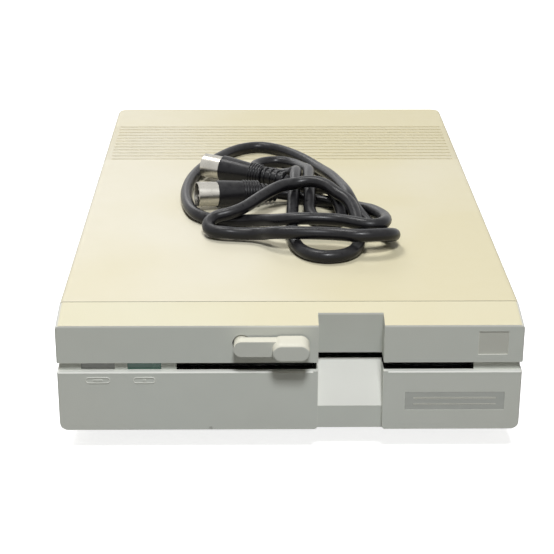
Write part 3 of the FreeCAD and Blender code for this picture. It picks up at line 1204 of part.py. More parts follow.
def dip_heights():
    return (SOCKET_Z - DIP_PITCH / 2, SOCKET_Z + DIP_PITCH / 2)


def mode_slider(z):
    """A small slider at the left end of its slot; it stands a little out of the switch."""
    x0 = DIP_X - (DIP_SLIDER + DIP_TRAVEL) / 2
    return box(x0, x0 + DIP_SLIDER, PANEL_Y - DIP_SLIDER_DEPTH, PANEL_Y + DIP_SLIDER_PROUD,
               z - DIP_SLIDER / 2, z + DIP_SLIDER / 2)


def mains_inlet():
    """An appliance inlet: a flange on the panel round a cavity with two chamfered upper corners."""
    half = INLET_WIDTH / 2
    front = PANEL_Y + INLET_PROUD
    body = box(INLET_X - half, INLET_X + half, PANEL_Y - INLET_DEPTH, front,
               INLET_Z - INLET_HEIGHT / 2, INLET_Z + INLET_HEIGHT / 2)
    mouth_half = INLET_MOUTH_WIDTH / 2
    mouth = box(INLET_X - mouth_half, INLET_X + mouth_half, front - INLET_MOUTH_DEPTH, front + 1,
                INLET_Z - INLET_MOUTH_HEIGHT / 2, INLET_Z + INLET_MOUTH_HEIGHT / 2)
    upright = [edge for edge in mouth.Edges if edge.BoundBox.YLength > 5 and edge.BoundBox.ZMin > INLET_Z]
    return body.cut(mouth.makeChamfer(INLET_CHAMFER, upright))


def inlet_blades():
    """Three flat blades: two outer ones low, the middle one higher."""
    front = PANEL_Y + INLET_PROUD
    half_x, half_z = BLADE_THICK / 2, BLADE_HEIGHT / 2
    blades = []
    for x, z in ((-BLADE_SPREAD, -BLADE_DROP), (BLADE_SPREAD, -BLADE_DROP), (0.0, BLADE_DROP)):
        blades.append(box(INLET_X + x - half_x, INLET_X + x + half_x,
                          front - INLET_MOUTH_DEPTH, front - BLADE_SETBACK,
                          INLET_Z + z - half_z, INLET_Z + z + half_z))
    return Part.makeCompound(blades)


def power_switch_frame():
    """The switch's frame: a rim on the panel round a well for the rocker."""
    half_w, half_h = SWITCH_WIDTH / 2, SWITCH_HEIGHT / 2
    body = box(SWITCH_X - half_w, SWITCH_X + half_w, PANEL_Y - SWITCH_DEPTH, PANEL_Y,
               SWITCH_Z - half_h, SWITCH_Z + half_h)
    rim = box(SWITCH_X - half_w - 1, SWITCH_X + half_w + 1, PANEL_Y, PANEL_Y + SWITCH_PROUD,
              SWITCH_Z - half_h - 1, SWITCH_Z + half_h + 1)
    well = box(SWITCH_X - half_w + SWITCH_RIM, SWITCH_X + half_w - SWITCH_RIM, PANEL_Y - SWITCH_DEPTH + 2,
               PANEL_Y + SWITCH_PROUD + 1, SWITCH_Z - half_h + SWITCH_RIM, SWITCH_Z + half_h - SWITCH_RIM)
    pin = rod(ROCKER_PIN_R, (SWITCH_X - half_w, *rocker_axis()), (SWITCH_X + half_w, *rocker_axis()))
    return fuse([body, rim]).cut(well).cut(pin)


def rocker_axis():
    """The Y and Z of the rocker's pin."""
    return (PANEL_Y - ROCKER_PIN_DEPTH, SWITCH_Z)


def rocker_pin():
    half = SWITCH_WIDTH / 2
    return rod(ROCKER_PIN_R, (SWITCH_X - half, *rocker_axis()), (SWITCH_X + half, *rocker_axis()))


def power_rocker():
    """A shallow V seen from the side, so that one half lies flat in the rim when the other stands out."""
    half_h = SWITCH_HEIGHT / 2 - SWITCH_RIM - 0.9
    y, z = rocker_axis()
    outline = [(y - 2.5, z - 4), (y + 4.5, z - half_h), (y + 6.0, z - half_h), (y + 4.8, z),
               (y + 6.0, z + half_h), (y + 4.5, z + half_h), (y - 2.5, z + 4)]
    half_w = SWITCH_WIDTH / 2 - SWITCH_RIM - ROCKER_GAP
    rocker = side_profile(outline, SWITCH_X - half_w, SWITCH_X + half_w)
    bore_r = ROCKER_PIN_R + RUN_CLEARANCE
    rocker = rocker.cut(rod(bore_r, (SWITCH_X - half_w - 1, y, z), (SWITCH_X + half_w + 1, y, z)))
    return turned(rocker, (0, y, z), (1, 0, 0), -ROCKER_TILT)


# ---------------------------------------------------------------- serial cable and its plugs
def on_top(point):
    """A place given as x, distance behind the face and height above the top."""
    x, behind, above = point
    return Vec(x, FACE_Y + behind, TOP_Z + above)


def cable_path(points):
    """Straight runs joined by tangent arcs, each as wide as the shorter of its two runs allows."""
    edges = []
    radii = []
    at = points[0]
    for before, corner, after in zip(points, points[1:], points[2:]):
        back, ahead = (before - corner), (after - corner)
        reach = CABLE_CORNER * min(back.Length, ahead.Length)
        back.normalize()
        ahead.normalize()
        half_turn = (math.pi - back.getAngle(ahead)) / 2
        radius = reach / math.tan(half_turn)
        inward = back + ahead
        inward.normalize()
        middle = corner + inward * (radius / math.cos(half_turn) - radius)
        start, end = corner + back * reach, corner + ahead * reach
        edges.append(Part.LineSegment(at, start).toShape())
        edges.append(Part.Arc(start, middle, end).toShape())
        radii.append(radius)
        at = end
    edges.append(Part.LineSegment(at, points[-1]).toShape())
    print("cable: %d arcs, tightest radii %s" % (len(radii), [round(r, 1) for r in sorted(radii)[:6]]))
    return Part.Wire(edges)


def serial_cable():
    points = [on_top(point) for point in CABLE_ROUTE]
    path = cable_path(points)
    section = Part.Wire(Part.makeCircle(CABLE_R, points[0], points[1] - points[0]))
    tube = path.makePipeShell([section], True, False)
    expected = math.pi * CABLE_R ** 2 * path.Length
    print("cable: %.0f mm long, volume %.3f of section times length" % (path.Length, tube.Volume / expected))
    return tube


def along(shape, start, end):
    """Puts a shape made along X from the origin onto the line from start to end."""
    placed = shape.copy()
    placed.Placement = FreeCAD.Placement(start, FreeCAD.Rotation(Vec(1, 0, 0), end - start))
    return placed


def spun(profile):
    """A solid of revolution about X from (distance, radius) points."""
    corners = [Vec(distance, radius, 0) for distance, radius in profile]
    return Part.Face(Part.makePolygon(corners + corners[:1])).revolve(Vec(0, 0, 0), Vec(1, 0, 0), 360)


def plug_ends():
    """For each plug: its mouth, where the cable leaves it, and how far along it the grip ends."""
    return ((on_top(PLUG_1_MOUTH), on_top(CABLE_ROUTE[0]), PLUG_1_GRIP_END),
            (on_top(PLUG_2_MOUTH), on_top(CABLE_ROUTE[-1]), PLUG_2_GRIP_END))


def plug_body(mouth, exit_point, grip_end):
    """The moulded grip behind the shell, tapering to the strain relief."""
    length = (exit_point - mouth).Length
    profile = [(SHELL_LENGTH, 0), (SHELL_LENGTH, GRIP_R), (grip_end, GRIP_R),
               (grip_end + GRIP_TAPER, RELIEF_R), (length - 1, RELIEF_R), (length, RELIEF_END_R), (length, 0)]
    return along(spun(profile), mouth, exit_point)


def plug_shell(mouth, exit_point):
    """The nickel tube that screens the pins, open at its mouth."""
    inner = SHELL_R - SHELL_WALL
    profile = [(0, inner), (0, SHELL_R), (SHELL_LENGTH, SHELL_R), (SHELL_LENGTH, inner)]
    return along(spun(profile), mouth, exit_point)


def plug_core(mouth, exit_point):
    """The insert inside the shell with its six pins."""
    core = rod(SHELL_R - SHELL_WALL, (PLUG_CORE_FACE, 0, 0), (SHELL_LENGTH, 0, 0))
    pins = [rod(PLUG_PIN_R, (PLUG_PIN_TIP, y, z), (PLUG_CORE_FACE + 1, y, z)) for y, z in pin_places(0, 0)]
    return along(fuse([core] + pins), mouth, exit_point)


# ---------------------------------------------------------------- build
def build():
    outer = case_form(0)
    inner = case_form(WALL)
    save("front_bezel", front_bezel(outer, inner))
    save("top_cover", top_cover(outer, inner))
    save("bottom_case", bottom_case(outer, inner))
    save("power_window", window(POWER_WINDOW_X))
    save("drive_window", window(DRIVE_WINDOW_X))
    save("status_leds", Part.makeCompound([led(POWER_WINDOW_X), led(DRIVE_WINDOW_X)]))
    save("led_board", led_board())
    save("badge_plate", badge_form())
    save("name_plate", name_form())
    save("rubber_feet", rubber_feet())
    save("case_screws", case_screws())
    save("front_lever", front_lever())
    save("lever_shaft", lever_shaft())
    save("lever_cam", lever_cam())
    save("drive_chassis", drive_chassis())
    save("disk_guides", disk_guides())
    save("arm_pins", arm_pins())
    save("spindle_bearing", spindle_bearing())
    save("spindle_hub", spindle_hub())
    save("spindle_rotor", spindle_rotor())
    save("rotor_magnet", rotor_magnet())
    save("motor_board", motor_board())
    save("stator_coils", stator_coils())
    save("clamp_arm", clamp_arm())
    save("clamp_hub", clamp_hub())
    save("clamp_spring", clamp_spring())
    save("guide_rods", guide_rods())
    save("head_carriage", head_carriage())
    save("positioner_band", positioner_band())
    save("lower_head", lower_head())
    save("upper_arm_pin", upper_arm_pin())
    save("upper_head_arm", upper_head_arm())
    save("upper_head", upper_head())
    save("stepper_motor", stepper_motor())
    save("stepper_capstan", stepper_capstan())
    save("sensors", sensors())
    save("main_board", main_board())
    save("board_chips", board_chips())
    save("shield_plate", shield_plate())
    save("power_board", power_board())
    save("power_transformer", power_transformer())
    save("power_capacitors", power_capacitors())
    save("power_heat_sink", power_heat_sink())
    for count, x in enumerate(SOCKET_XS):
        save("serial_socket_%d" % (count + 1), serial_socket(x))
    save("socket_inserts", socket_inserts())
    save("mode_switch_body", mode_switch_body())
    for count, z in enumerate(dip_heights()):
        save("mode_slider_%d" % (count + 1), mode_slider(z))
    save("mains_inlet", mains_inlet())
    save("inlet_blades", inlet_blades())
    save("power_switch_frame", power_switch_frame())
    save("rocker_pin", rocker_pin())
    save("power_rocker", power_rocker())
    save("serial_cable", serial_cable())
    cores = []
    for count, (mouth, exit_point, grip_end) in enumerate(plug_ends()):
        save("plug_%d_body" % (count + 1), plug_body(mouth, exit_point, grip_end))
        save("plug_%d_shell" % (count + 1), plug_shell(mouth, exit_point))
        cores.append(plug_core(mouth, exit_point))
    save("plug_cores", Part.makeCompound(cores))


build()
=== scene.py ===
# %% [markdown]
# # A desktop floppy disk drive, dressed in Blender
# The solid model of the drive arrives as a fixed frame: every casing, board, shaft and socket
# already stands at its real size. This lesson gives each of them its finish, lays the data
# cable on the lid, and adds the small things that a mould or a press leaves behind.
# Everything is in metres, with Z up and the front of the drive looking along -Y.

# %% Load the frame
import json
import math
import bpy
import bmesh
from mathutils import Matrix, Vector
from mathutils.bvhtree import BVHTree


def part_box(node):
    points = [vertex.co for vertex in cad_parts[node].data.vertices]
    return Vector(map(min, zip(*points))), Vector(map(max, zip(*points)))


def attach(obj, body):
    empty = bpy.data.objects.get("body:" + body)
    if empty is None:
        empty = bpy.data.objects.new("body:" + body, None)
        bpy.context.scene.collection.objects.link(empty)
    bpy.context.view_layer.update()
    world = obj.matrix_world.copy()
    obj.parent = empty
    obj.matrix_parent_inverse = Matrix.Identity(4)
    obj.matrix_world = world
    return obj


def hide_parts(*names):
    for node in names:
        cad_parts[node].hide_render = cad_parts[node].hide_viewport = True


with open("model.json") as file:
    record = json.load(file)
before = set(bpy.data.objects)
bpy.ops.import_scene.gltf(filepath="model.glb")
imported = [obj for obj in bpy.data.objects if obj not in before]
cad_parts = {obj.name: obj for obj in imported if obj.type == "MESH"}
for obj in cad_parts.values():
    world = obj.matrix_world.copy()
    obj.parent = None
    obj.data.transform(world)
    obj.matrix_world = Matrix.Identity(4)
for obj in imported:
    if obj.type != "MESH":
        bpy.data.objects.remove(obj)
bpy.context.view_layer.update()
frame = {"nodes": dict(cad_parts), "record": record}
nodes = frame["nodes"]
MM = 0.001

# %% [markdown]
# ## The camera
# A product picture is taken with a long lens from a little above, so that the lid and the
# front are both seen and the sides hardly converge. The camera is written as a place and
# three angles, and its matrix is made from them, because that is easier to adjust than a
# look-at target.

# %% Camera
CAMERA_PLACE = Vector((-0.0148, -0.78195, 0.3397))
PITCH_DOWN = math.radians(22.1)
YAW_RIGHT = math.radians(0.81)
ROLL = math.radians(0.18)
LENS_MM = 96.9


def aim_camera(place, pitch, yaw, roll):
    """The camera's matrix from its place, its pitch below the horizon, its yaw and its roll."""
    ahead = Vector((math.sin(yaw) * math.cos(pitch), math.cos(yaw) * math.cos(pitch), -math.sin(pitch)))
    right = Vector((math.cos(yaw), -math.sin(yaw), 0.0))
    up = right.cross(ahead)
    turned_right = math.cos(roll) * right + math.sin(roll) * up
    turned_up = math.cos(roll) * up - math.sin(roll) * right
    turn = Matrix((turned_right, turned_up, -ahead)).transposed().to_4x4()
    return Matrix.Translation(place) @ turn


camera_data = bpy.data.cameras.new("camera")
camera_data.lens = LENS_MM
camera_data.sensor_width = 36.0
camera_data.clip_start = 0.01
camera = bpy.data.objects.new("camera", camera_data)
camera.matrix_world = aim_camera(CAMERA_PLACE, PITCH_DOWN, YAW_RIGHT, ROLL)
bpy.context.scene.collection.objects.link(camera)
bpy.context.scene.camera = camera
bpy.context.scene.view_settings.view_transform = "Standard"
print("camera at", [round(v, 3) for v in CAMERA_PLACE], "lens", LENS_MM, "mm")

# %% [markdown]
# ## Helpers for nodes
# The sky, the floor, every finish and every geometry tree here are made of nodes. Building
# them takes the same steps each time: add a node, choose its mode, then give each input a
# value or join it to another node. Two short functions do this, so that the recipes below
# read as a list of what goes into what.

# %% Node helpers
def fill_inputs(tree, node, inputs):
    """Gives a node's inputs, by name or number, each a value or another node's socket."""
    for title, value in inputs.items():
        if isinstance(value, bpy.types.NodeSocket):
            tree.links.new(value, node.inputs[title])
        else:
            node.inputs[title].default_value = value


def add_node(tree, kind, inputs=None, **settings):
    """Adds a node with its settings made and its inputs filled."""
    node = tree.nodes.new(kind)
    for title, value in settings.items():
        setattr(node, title, value)
    fill_inputs(tree, node, inputs or {})
    return node


def add_math(tree, operation, *values):
    """A math node on sockets or numbers. Gives its output socket."""
    return add_node(tree, "ShaderNodeMath", dict(enumerate(values)), operation=operation).outputs[0]


print("node helpers:", fill_inputs.__name__, add_node.__name__, add_math.__name__)

# %% [markdown]
# ## Light, floor and backdrop
# Three soft lamps and an even sky make a plain studio. The lamp overhead lights the lid, the
# one in front reaches under the lid's edge and into the finger recess, a weak one keeps the
# back from going dark, and the sky fills the rest. The floor looks white to the camera, but
# other rays find it grey, so it doesn't throw light back up at the front.

# %% Light and floor
SKY_LEVEL = 0.085
WARM_SKY = (1.0, 0.96, 0.86, 1.0)
WHITE = (1.0, 1.0, 1.0, 1.0)
FLOOR_BOUNCE = (0.22, 0.21, 0.19, 1.0)
FLOOR_GLOW = 0.80
FLOOR_HALF = 4.0
FLOOR_BELOW = 0.0002
WARM_LAMP = (1.0, 0.99, 0.97)
COOL_LAMP = (0.96, 0.98, 1.0)
LAMPS = (
    ("soft_top", (-0.35, 0.30, 1.5), (0.0, 0.0, 0.05), 0.45, 8.5, WARM_LAMP),
    ("soft_front", (0.06, -1.17, 1.52), (0.0, -0.05, 0.05), 0.3, 21.8, COOL_LAMP),
    ("soft_back", (-0.45, 1.35, 0.85), (0.0, 0.1, 0.05), 0.5, 2.5, WARM_LAMP),
)


def seen_directly(tree):
    """A value that is 1 for the camera, for mirror-like rays and for rays through glass."""
    rays = tree.nodes.new("ShaderNodeLightPath").outputs
    camera_or_gloss = add_math(tree, "MAXIMUM", rays["Is Camera Ray"], rays["Is Glossy Ray"])
    return add_math(tree, "MAXIMUM", camera_or_gloss, rays["Is Transmission Ray"])


def make_sky(level):
    """A warm grey sky that the camera sees as white."""
    world = bpy.data.worlds.new("studio")
    world.use_nodes = True
    tree = world.node_tree
    tree.nodes.clear()
    glow = add_node(tree, "ShaderNodeBackground", {"Color": WARM_SKY, "Strength": level})
    white = add_node(tree, "ShaderNodeBackground", {"Color": WHITE})
    chooser = add_node(tree, "ShaderNodeMixShader", {
        "Fac": seen_directly(tree), 1: glow.outputs[0], 2: white.outputs[0]})
    add_node(tree, "ShaderNodeOutputWorld", {"Surface": chooser.outputs[0]})
    return world


def hang_lamp(name, place, target, size, watts, colour):
    """A square soft lamp at place that looks at target."""
    lamp_data = bpy.data.lights.new(name, "AREA")
    lamp_data.shape = "SQUARE"
    lamp_data.size = size
    lamp_data.energy = watts
    lamp_data.color = colour
    lamp = bpy.data.objects.new(name, lamp_data)
    lamp.location = place
    lamp.rotation_euler = (Vector(target) - Vector(place)).to_track_quat("-Z", "Y").to_euler()
    bpy.context.scene.collection.objects.link(lamp)


def lay_floor(half_size):
    """A pale floor that keeps the shadow of what stands on it."""
    mesh = bpy.data.meshes.new("floor")
    signs = ((-1, -1), (1, -1), (1, 1), (-1, 1))
    corners = [(x * half_size, y * half_size, -FLOOR_BELOW) for x, y in signs]
    mesh.from_pydata(corners, [], [(0, 1, 2, 3)])
    floor = bpy.data.objects.new("floor", mesh)
    bpy.context.scene.collection.objects.link(floor)
    material = bpy.data.materials.new("floor_paper")
    material.use_nodes = True
    tree = material.node_tree
    direct = seen_directly(tree)
    paper = add_node(tree, "ShaderNodeMix", {0: direct, 6: FLOOR_BOUNCE, 7: WHITE}, data_type="RGBA")
    fill_inputs(tree, tree.nodes["Principled BSDF"], {
        "Roughness": 0.9, "Specular IOR Level": 0.1, "Base Color": paper.outputs[2],
        "Emission Color": WHITE, "Emission Strength": add_math(tree, "MULTIPLY", direct, FLOOR_GLOW)})
    mesh.materials.append(material)


bpy.context.scene.world = make_sky(SKY_LEVEL)
for lamp_values in LAMPS:
    hang_lamp(*lamp_values)
lay_floor(FLOOR_HALF)
print("sky", SKY_LEVEL, "with", len(LAMPS), "soft lamps and a floor of", 2 * FLOOR_HALF, "m")

# %% [markdown]
# ## The data cable's line
# The drive is joined to its computer by a round cable with a plug at both ends. It is put
# away on the lid in long loose folds. One NURBS spline carries the whole line: its control
# points lie a little outside each fold, and the spline eases through them, as a cable
# does that is too stiff to crease. Points are given across the drive, behind the face and
# above the lid, in millimetres. The tube's radius is set on the points and the bevel is 1,
# so that the curve's own box has the real thickness too.

# %% Cable line
FACE_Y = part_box("front_bezel")[0][1] / MM
LID_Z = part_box("top_cover")[1][2] / MM
CABLE_R = 3.25
CABLE_POINTS = [
    (-4.5, 156.5, 5.9), (1.3, 157.6, 4.9), (8.4, 155, 3.4), (16.3, 152.2, 3.4), (28.2, 146.7, 3.4),
    (37.8, 140.9, 3.4), (42.6, 136.5, 3.8), (45.6, 127.5, 6.3), (51.4, 111.3, 8.4), (50.3, 94.5, 11.1),
    (42.9, 89.7, 11.1), (33.5, 94.2, 11.5), (26, 99.8, 10.9), (7.7, 100.4, 11.5), (-4.3, 104.5, 9),
    (-12.3, 113.4, 5.6), (-21.4, 119.4, 3.4), (-31.1, 119.6, 3.4), (-41.5, 121.4, 3.4),
    (-50.1, 132.8, 3.8), (-54.3, 158.9, 3.4), (-52.9, 184.7, 3.4), (-47.5, 207.3, 3.4),
    (-38.6, 225.8, 3.4), (-27.9, 244, 3.4), (-14, 251.1, 3.4), (-0.5, 243.9, 3.4), (11.7, 227.1, 3.4),
    (20.9, 207.4, 3.4), (26.5, 183.2, 7.2), (31.4, 158.6, 9.1), (33.4, 141.4, 10.9), (36.1, 132.5, 7.4),
    (38.5, 126.7, 5.2), (42.8, 116.1, 3.4), (46.5, 104.3, 3.4), (51, 96, 3.4), (54.6, 89.5, 6.3),
    (53.1, 82.4, 9.4), (47.4, 77.1, 11.1), (34.8, 74.6, 11.4), (24.3, 79.9, 10.6), (7.3, 81.5, 10.6),
    (-6.3, 84.6, 9.6), (-12.9, 94.6, 5.1), (-24.1, 97.4, 4.2), (-32.1, 97.9, 4.8), (-37.4, 100.1, 4.4),
    (-40.3, 104.5, 4.8), (-40, 109.5, 6.2), (-36.1, 113.6, 7.9), (-29.2, 114.3, 9.1),
    (-21.4, 118.6, 10.7), (-11.5, 131.1, 13.5), (-1.8, 140.3, 15.8), (4.5, 144.8, 14.9),
    (13.6, 145.8, 16.6), (22, 141.1, 16), (26.8, 132.4, 14.3), (33.2, 126.6, 12.2), (35.9, 116.5, 9.4),
    (37.2, 105.6, 4.9), (36.6, 94.9, 3.4), (36.2, 83.2, 3.4), (32.7, 73.6, 3.4), (26.3, 67.7, 3.4),
    (17.3, 66.6, 3.4), (9.3, 71.4, 3.4), (4.8, 81.5, 3.4), (3.2, 92.3, 3.4), (2.8, 106.1, 3.4),
    (3.3, 119.4, 3.4), (3.9, 132.2, 4.4), (4.3, 143, 7.6), (5.7, 154.1, 10.6), (5.9, 167.9, 12.2),
    (7.1, 179.3, 11.5), (5.3, 188.7, 6.8), (-0.6, 194.4, 4), (-8.1, 197.1, 4.1), (-15.1, 202.3, 3.4),
    (-17.2, 210.7, 3.4), (-12.2, 218.9, 3.4), (-1, 221.5, 3.4), (8.2, 214, 3.4), (11.1, 198.1, 6.7),
    (14.5, 183.9, 10.2), (13.1, 167.8, 10.9), (13.2, 153, 10.8), (13.5, 142.4, 8.3), (12.6, 131.1, 4.7),
    (15.3, 118.3, 4), (22.7, 115.3, 3.4), (28.9, 119, 3.4), (30.1, 127.4, 4.7), (26.9, 140.1, 9.4),
    (25.3, 149, 10.4), (20.5, 159.2, 8.3), (19.5, 168.8, 3.4), (14.8, 174.8, 3.4), (6.1, 176.3, 4.4),
    (0.7, 178.5, 6),
]
PLUG_1_MOUTH = (-47.4, 144.9, 9.1)
PLUG_2_MOUTH = (-45.0, 197.0, 9.0)


def on_lid(point):
    """The place in metres of a point given across, behind the face and above the lid."""
    across, behind, above = point
    return Vector((across, FACE_Y + behind, LID_Z + above)) * MM


cable_line = bpy.data.curves.new("data_cable", "CURVE")
cable_line.dimensions = "3D"
cable_spline = cable_line.splines.new("NURBS")
cable_spline.points.add(len(CABLE_POINTS) - 1)
for control, point in zip(cable_spline.points, CABLE_POINTS):
    control.co = (*on_lid(point), 1.0)
    control.radius = CABLE_R * MM
cable_spline.order_u = 3
cable_spline.use_endpoint_u = True
cable_spline.use_smooth = True
cable_line.resolution_u = 8
cable_line.bevel_depth = 1.0
cable_line.bevel_resolution = 6
cable_line.use_fill_caps = True
cable = bpy.data.objects.new("data_cable", cable_line)
bpy.context.scene.collection.objects.link(cable)
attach(cable, "root")
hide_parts("serial_cable")
print("cable with", len(CABLE_POINTS), "control points")

# %% [markdown]
# ## Effects that several finishes share
# Moulded plastic, cast metal and rolled sheet differ mostly in three things: the grain of
# the surface, how its colour drifts from place to place, and how its edges wear. Their pale
# edge colour is partly wear and partly a painted highlight where edges catch the light. Each of
# these is one shader group here, built once and placed in every material with values of
# its own. A group gives out only masks and heights. The shader stays in the material.

# %% Helpers for shader groups
def add_group(name, inputs, outputs):
    """An empty shader group with float inputs (name: default) and float outputs."""
    group = bpy.data.node_groups.new(name, "ShaderNodeTree")
    for title, value in inputs.items():
        socket = group.interface.new_socket(title, in_out="INPUT", socket_type="NodeSocketFloat")
        socket.default_value = value
    for title in outputs:
        group.interface.new_socket(title, in_out="OUTPUT", socket_type="NodeSocketFloat")
    return group, group.nodes.new("NodeGroupInput").outputs, group.nodes.new("NodeGroupOutput")


def add_noise(tree, place, scale, detail, roughness=0.5):
    """A noise texture at place. Scale is a number per metre or a socket."""
    inputs = {"Vector": place, "Scale": scale, "Detail": detail, "Roughness": roughness}
    return add_node(tree, "ShaderNodeTexNoise", inputs).outputs["Fac"]


def object_place(tree):
    """Where a point is on its piece, in metres."""
    return tree.nodes.new("ShaderNodeTexCoord").outputs["Object"]


def clamp(tree, value):
    """Holds a value between 0 and 1."""
    return add_node(tree, "ShaderNodeClamp", {"Value": value}).outputs[0]


print("group helpers:", add_group.__name__, add_noise.__name__, object_place.__name__, clamp.__name__)


# %% Group: surface grain
FINE_PER_GRAIN = 1.7


def make_grain_group():
    """Small bumps of moulded or cast surfaces: a cell pattern softened by noise."""
    group, given, result = add_group(
        "surface_grain", {"Grains per metre": 1200.0, "Softness": 0.5}, ["Height"])
    place = object_place(group)
    cells = add_node(group, "ShaderNodeTexVoronoi", {"Vector": place, "Scale": given["Grains per metre"]})
    fine_scale = add_math(group, "MULTIPLY", given["Grains per metre"], FINE_PER_GRAIN)
    fine = add_noise(group, place, fine_scale, 3.0, 0.6)
    blend = add_node(group, "ShaderNodeMix", {
        0: given["Softness"], 2: cells.outputs["Distance"], 3: fine})
    fill_inputs(group, result, {"Height": blend.outputs[0]})
    return group


GRAIN = make_grain_group()
print("group:", GRAIN.name)


# %% Group: colour drift
MOTTLES_PER_BLOTCH = 14.0


def make_drift_group():
    """Broad soft blotches and a finer mottle, both from 0 to 1."""
    group, given, result = add_group(
        "colour_drift", {"Blotches per metre": 9.0, "Shift": 0.0}, ["Broad", "Mottle"])
    moved = add_node(group, "ShaderNodeVectorMath", {0: object_place(group), 1: given["Shift"]},
                     operation="ADD").outputs[0]
    many = add_math(group, "MULTIPLY", given["Blotches per metre"], MOTTLES_PER_BLOTCH)
    fill_inputs(group, result, {
        "Broad": add_noise(group, moved, given["Blotches per metre"], 2.0, 0.45),
        "Mottle": add_noise(group, moved, many, 4.0, 0.6)})
    return group


DRIFT = make_drift_group()
print("group:", DRIFT.name)


# %% Group: edge wear and painted edge highlight
WEAR_STARTS_AT = 0.06
WEAR_GAIN = 9.0
WEAR_PATCHES_PER_METRE = 260.0


def make_wear_and_highlight_group():
    """A mask along edges, broken up by noise, for wear and a painted highlight. It compares the flat normal
    with a rounded one.
    """
    group, given, result = add_group("edge_wear_and_highlight", {"Edge width": 0.0006}, ["Mask"])
    rounded = add_node(group, "ShaderNodeBevel", {"Radius": given["Edge width"]}, samples=4)
    flat = group.nodes.new("ShaderNodeNewGeometry")
    likeness = add_node(group, "ShaderNodeVectorMath", {
        0: rounded.outputs["Normal"], 1: flat.outputs["Normal"]}, operation="DOT_PRODUCT")
    bend = add_math(group, "SUBTRACT", 1.0, likeness.outputs["Value"])
    strength = add_math(group, "SUBTRACT", bend, WEAR_STARTS_AT)
    patchy = add_noise(group, object_place(group), WEAR_PATCHES_PER_METRE, 3.0, 0.6)
    worn_and_lit = add_math(group, "MULTIPLY", strength, add_math(group, "MULTIPLY", patchy, WEAR_GAIN))
    fill_inputs(group, result, {"Mask": clamp(group, worn_and_lit)})
    return group


WEAR_AND_HIGHLIGHT = make_wear_and_highlight_group()
print("group:", WEAR_AND_HIGHLIGHT.name)


# %% Group: scuff spot
RAGS_PER_METRE = 1800.0
RAG_REACH = 1.6


def make_spot_group():
    """A small ragged spot round one place on a piece, for a scuff or a nick."""
    group, given, result = add_group(
        "scuff_spot", {"X": 0.0, "Y": 0.0, "Z": 0.0, "Reach": 0.003}, ["Mask"])
    place = object_place(group)
    centre = add_node(group, "ShaderNodeCombineXYZ", {axis: given[axis] for axis in "XYZ"})
    distance = add_node(group, "ShaderNodeVectorMath", {0: place, 1: centre.outputs[0]},
                        operation="DISTANCE")
    near = add_math(group, "DIVIDE", distance.outputs["Value"], given["Reach"])
    rags = add_noise(group, place, RAGS_PER_METRE, 3.0, 0.7)
    inside = add_math(group, "SUBTRACT", add_math(group, "MULTIPLY", rags, RAG_REACH), near)
    fill_inputs(group, result, {"Mask": clamp(group, inside)})
    return group


SPOT = make_spot_group()
print("group:", SPOT.name)


# %% Group: brushed lines
LINE_STRETCH = (0.02, 1.0, 1.0)


def make_brush_group():
    """Fine parallel lines, as rolling or brushing leaves, along the piece's X."""
    group, given, result = add_group("brushed_lines", {"Lines per metre": 4000.0}, ["Lines"])
    stretch = add_node(group, "ShaderNodeMapping", {
        "Vector": object_place(group), "Scale": LINE_STRETCH})
    lines = add_noise(group, stretch.outputs[0], given["Lines per metre"], 2.0)
    fill_inputs(group, result, {"Lines": lines})
    return group


BRUSH = make_brush_group()
print("group:", BRUSH.name)

# %% [markdown]
# ## A finish from a few values
# Every material starts from the same recipe: two close colours mixed by the drift, a
# paler or darker edge that is partly wear and partly a painted highlight, a roughness that
# wanders a little, and a bump from the grain. What is special about one finish, such as the
# sun-yellowed top of the casing, is added after.
# Colours are written as a screen shows them, from 0 to 255, and made linear for the shader.

# %% Colours and masks
def srgb(red, green, blue):
    """A colour written as a screen shows it, from 0 to 255, as the linear colour that shaders use."""
    def linear(value):
        value = value / 255
        return value / 12.92 if value <= 0.04045 else ((value + 0.055) / 1.055) ** 2.4
    return (linear(red), linear(green), linear(blue), 1.0)


def place_group(tree, group, **values):
    """An instance of a shader group with its inputs set. Underscores stand for spaces."""
    inputs = {title.replace("_", " "): value for title, value in values.items()}
    return add_node(tree, "ShaderNodeGroup", inputs, node_tree=group)


def mix_colours(tree, amount, first, second):
    """Mixes two colours, each a socket or three screen values, by a socket or a number."""
    first, second = (srgb(*value) if isinstance(value, tuple) else value for value in (first, second))
    return add_node(tree, "ShaderNodeMix", {0: amount, 6: first, 7: second}, data_type="RGBA").outputs[2]


def spread(tree, noise, low, high):
    """Stretches a noise, which mostly stays between 0.3 and 0.7, to run from low to high."""
    inputs = {"Value": noise, "From Min": 0.3, "From Max": 0.7, "To Min": low, "To Max": high}
    return add_node(tree, "ShaderNodeMapRange", inputs).outputs["Result"]


print("mid grey for a shader:", [round(value, 3) for value in srgb(128, 128, 128)])


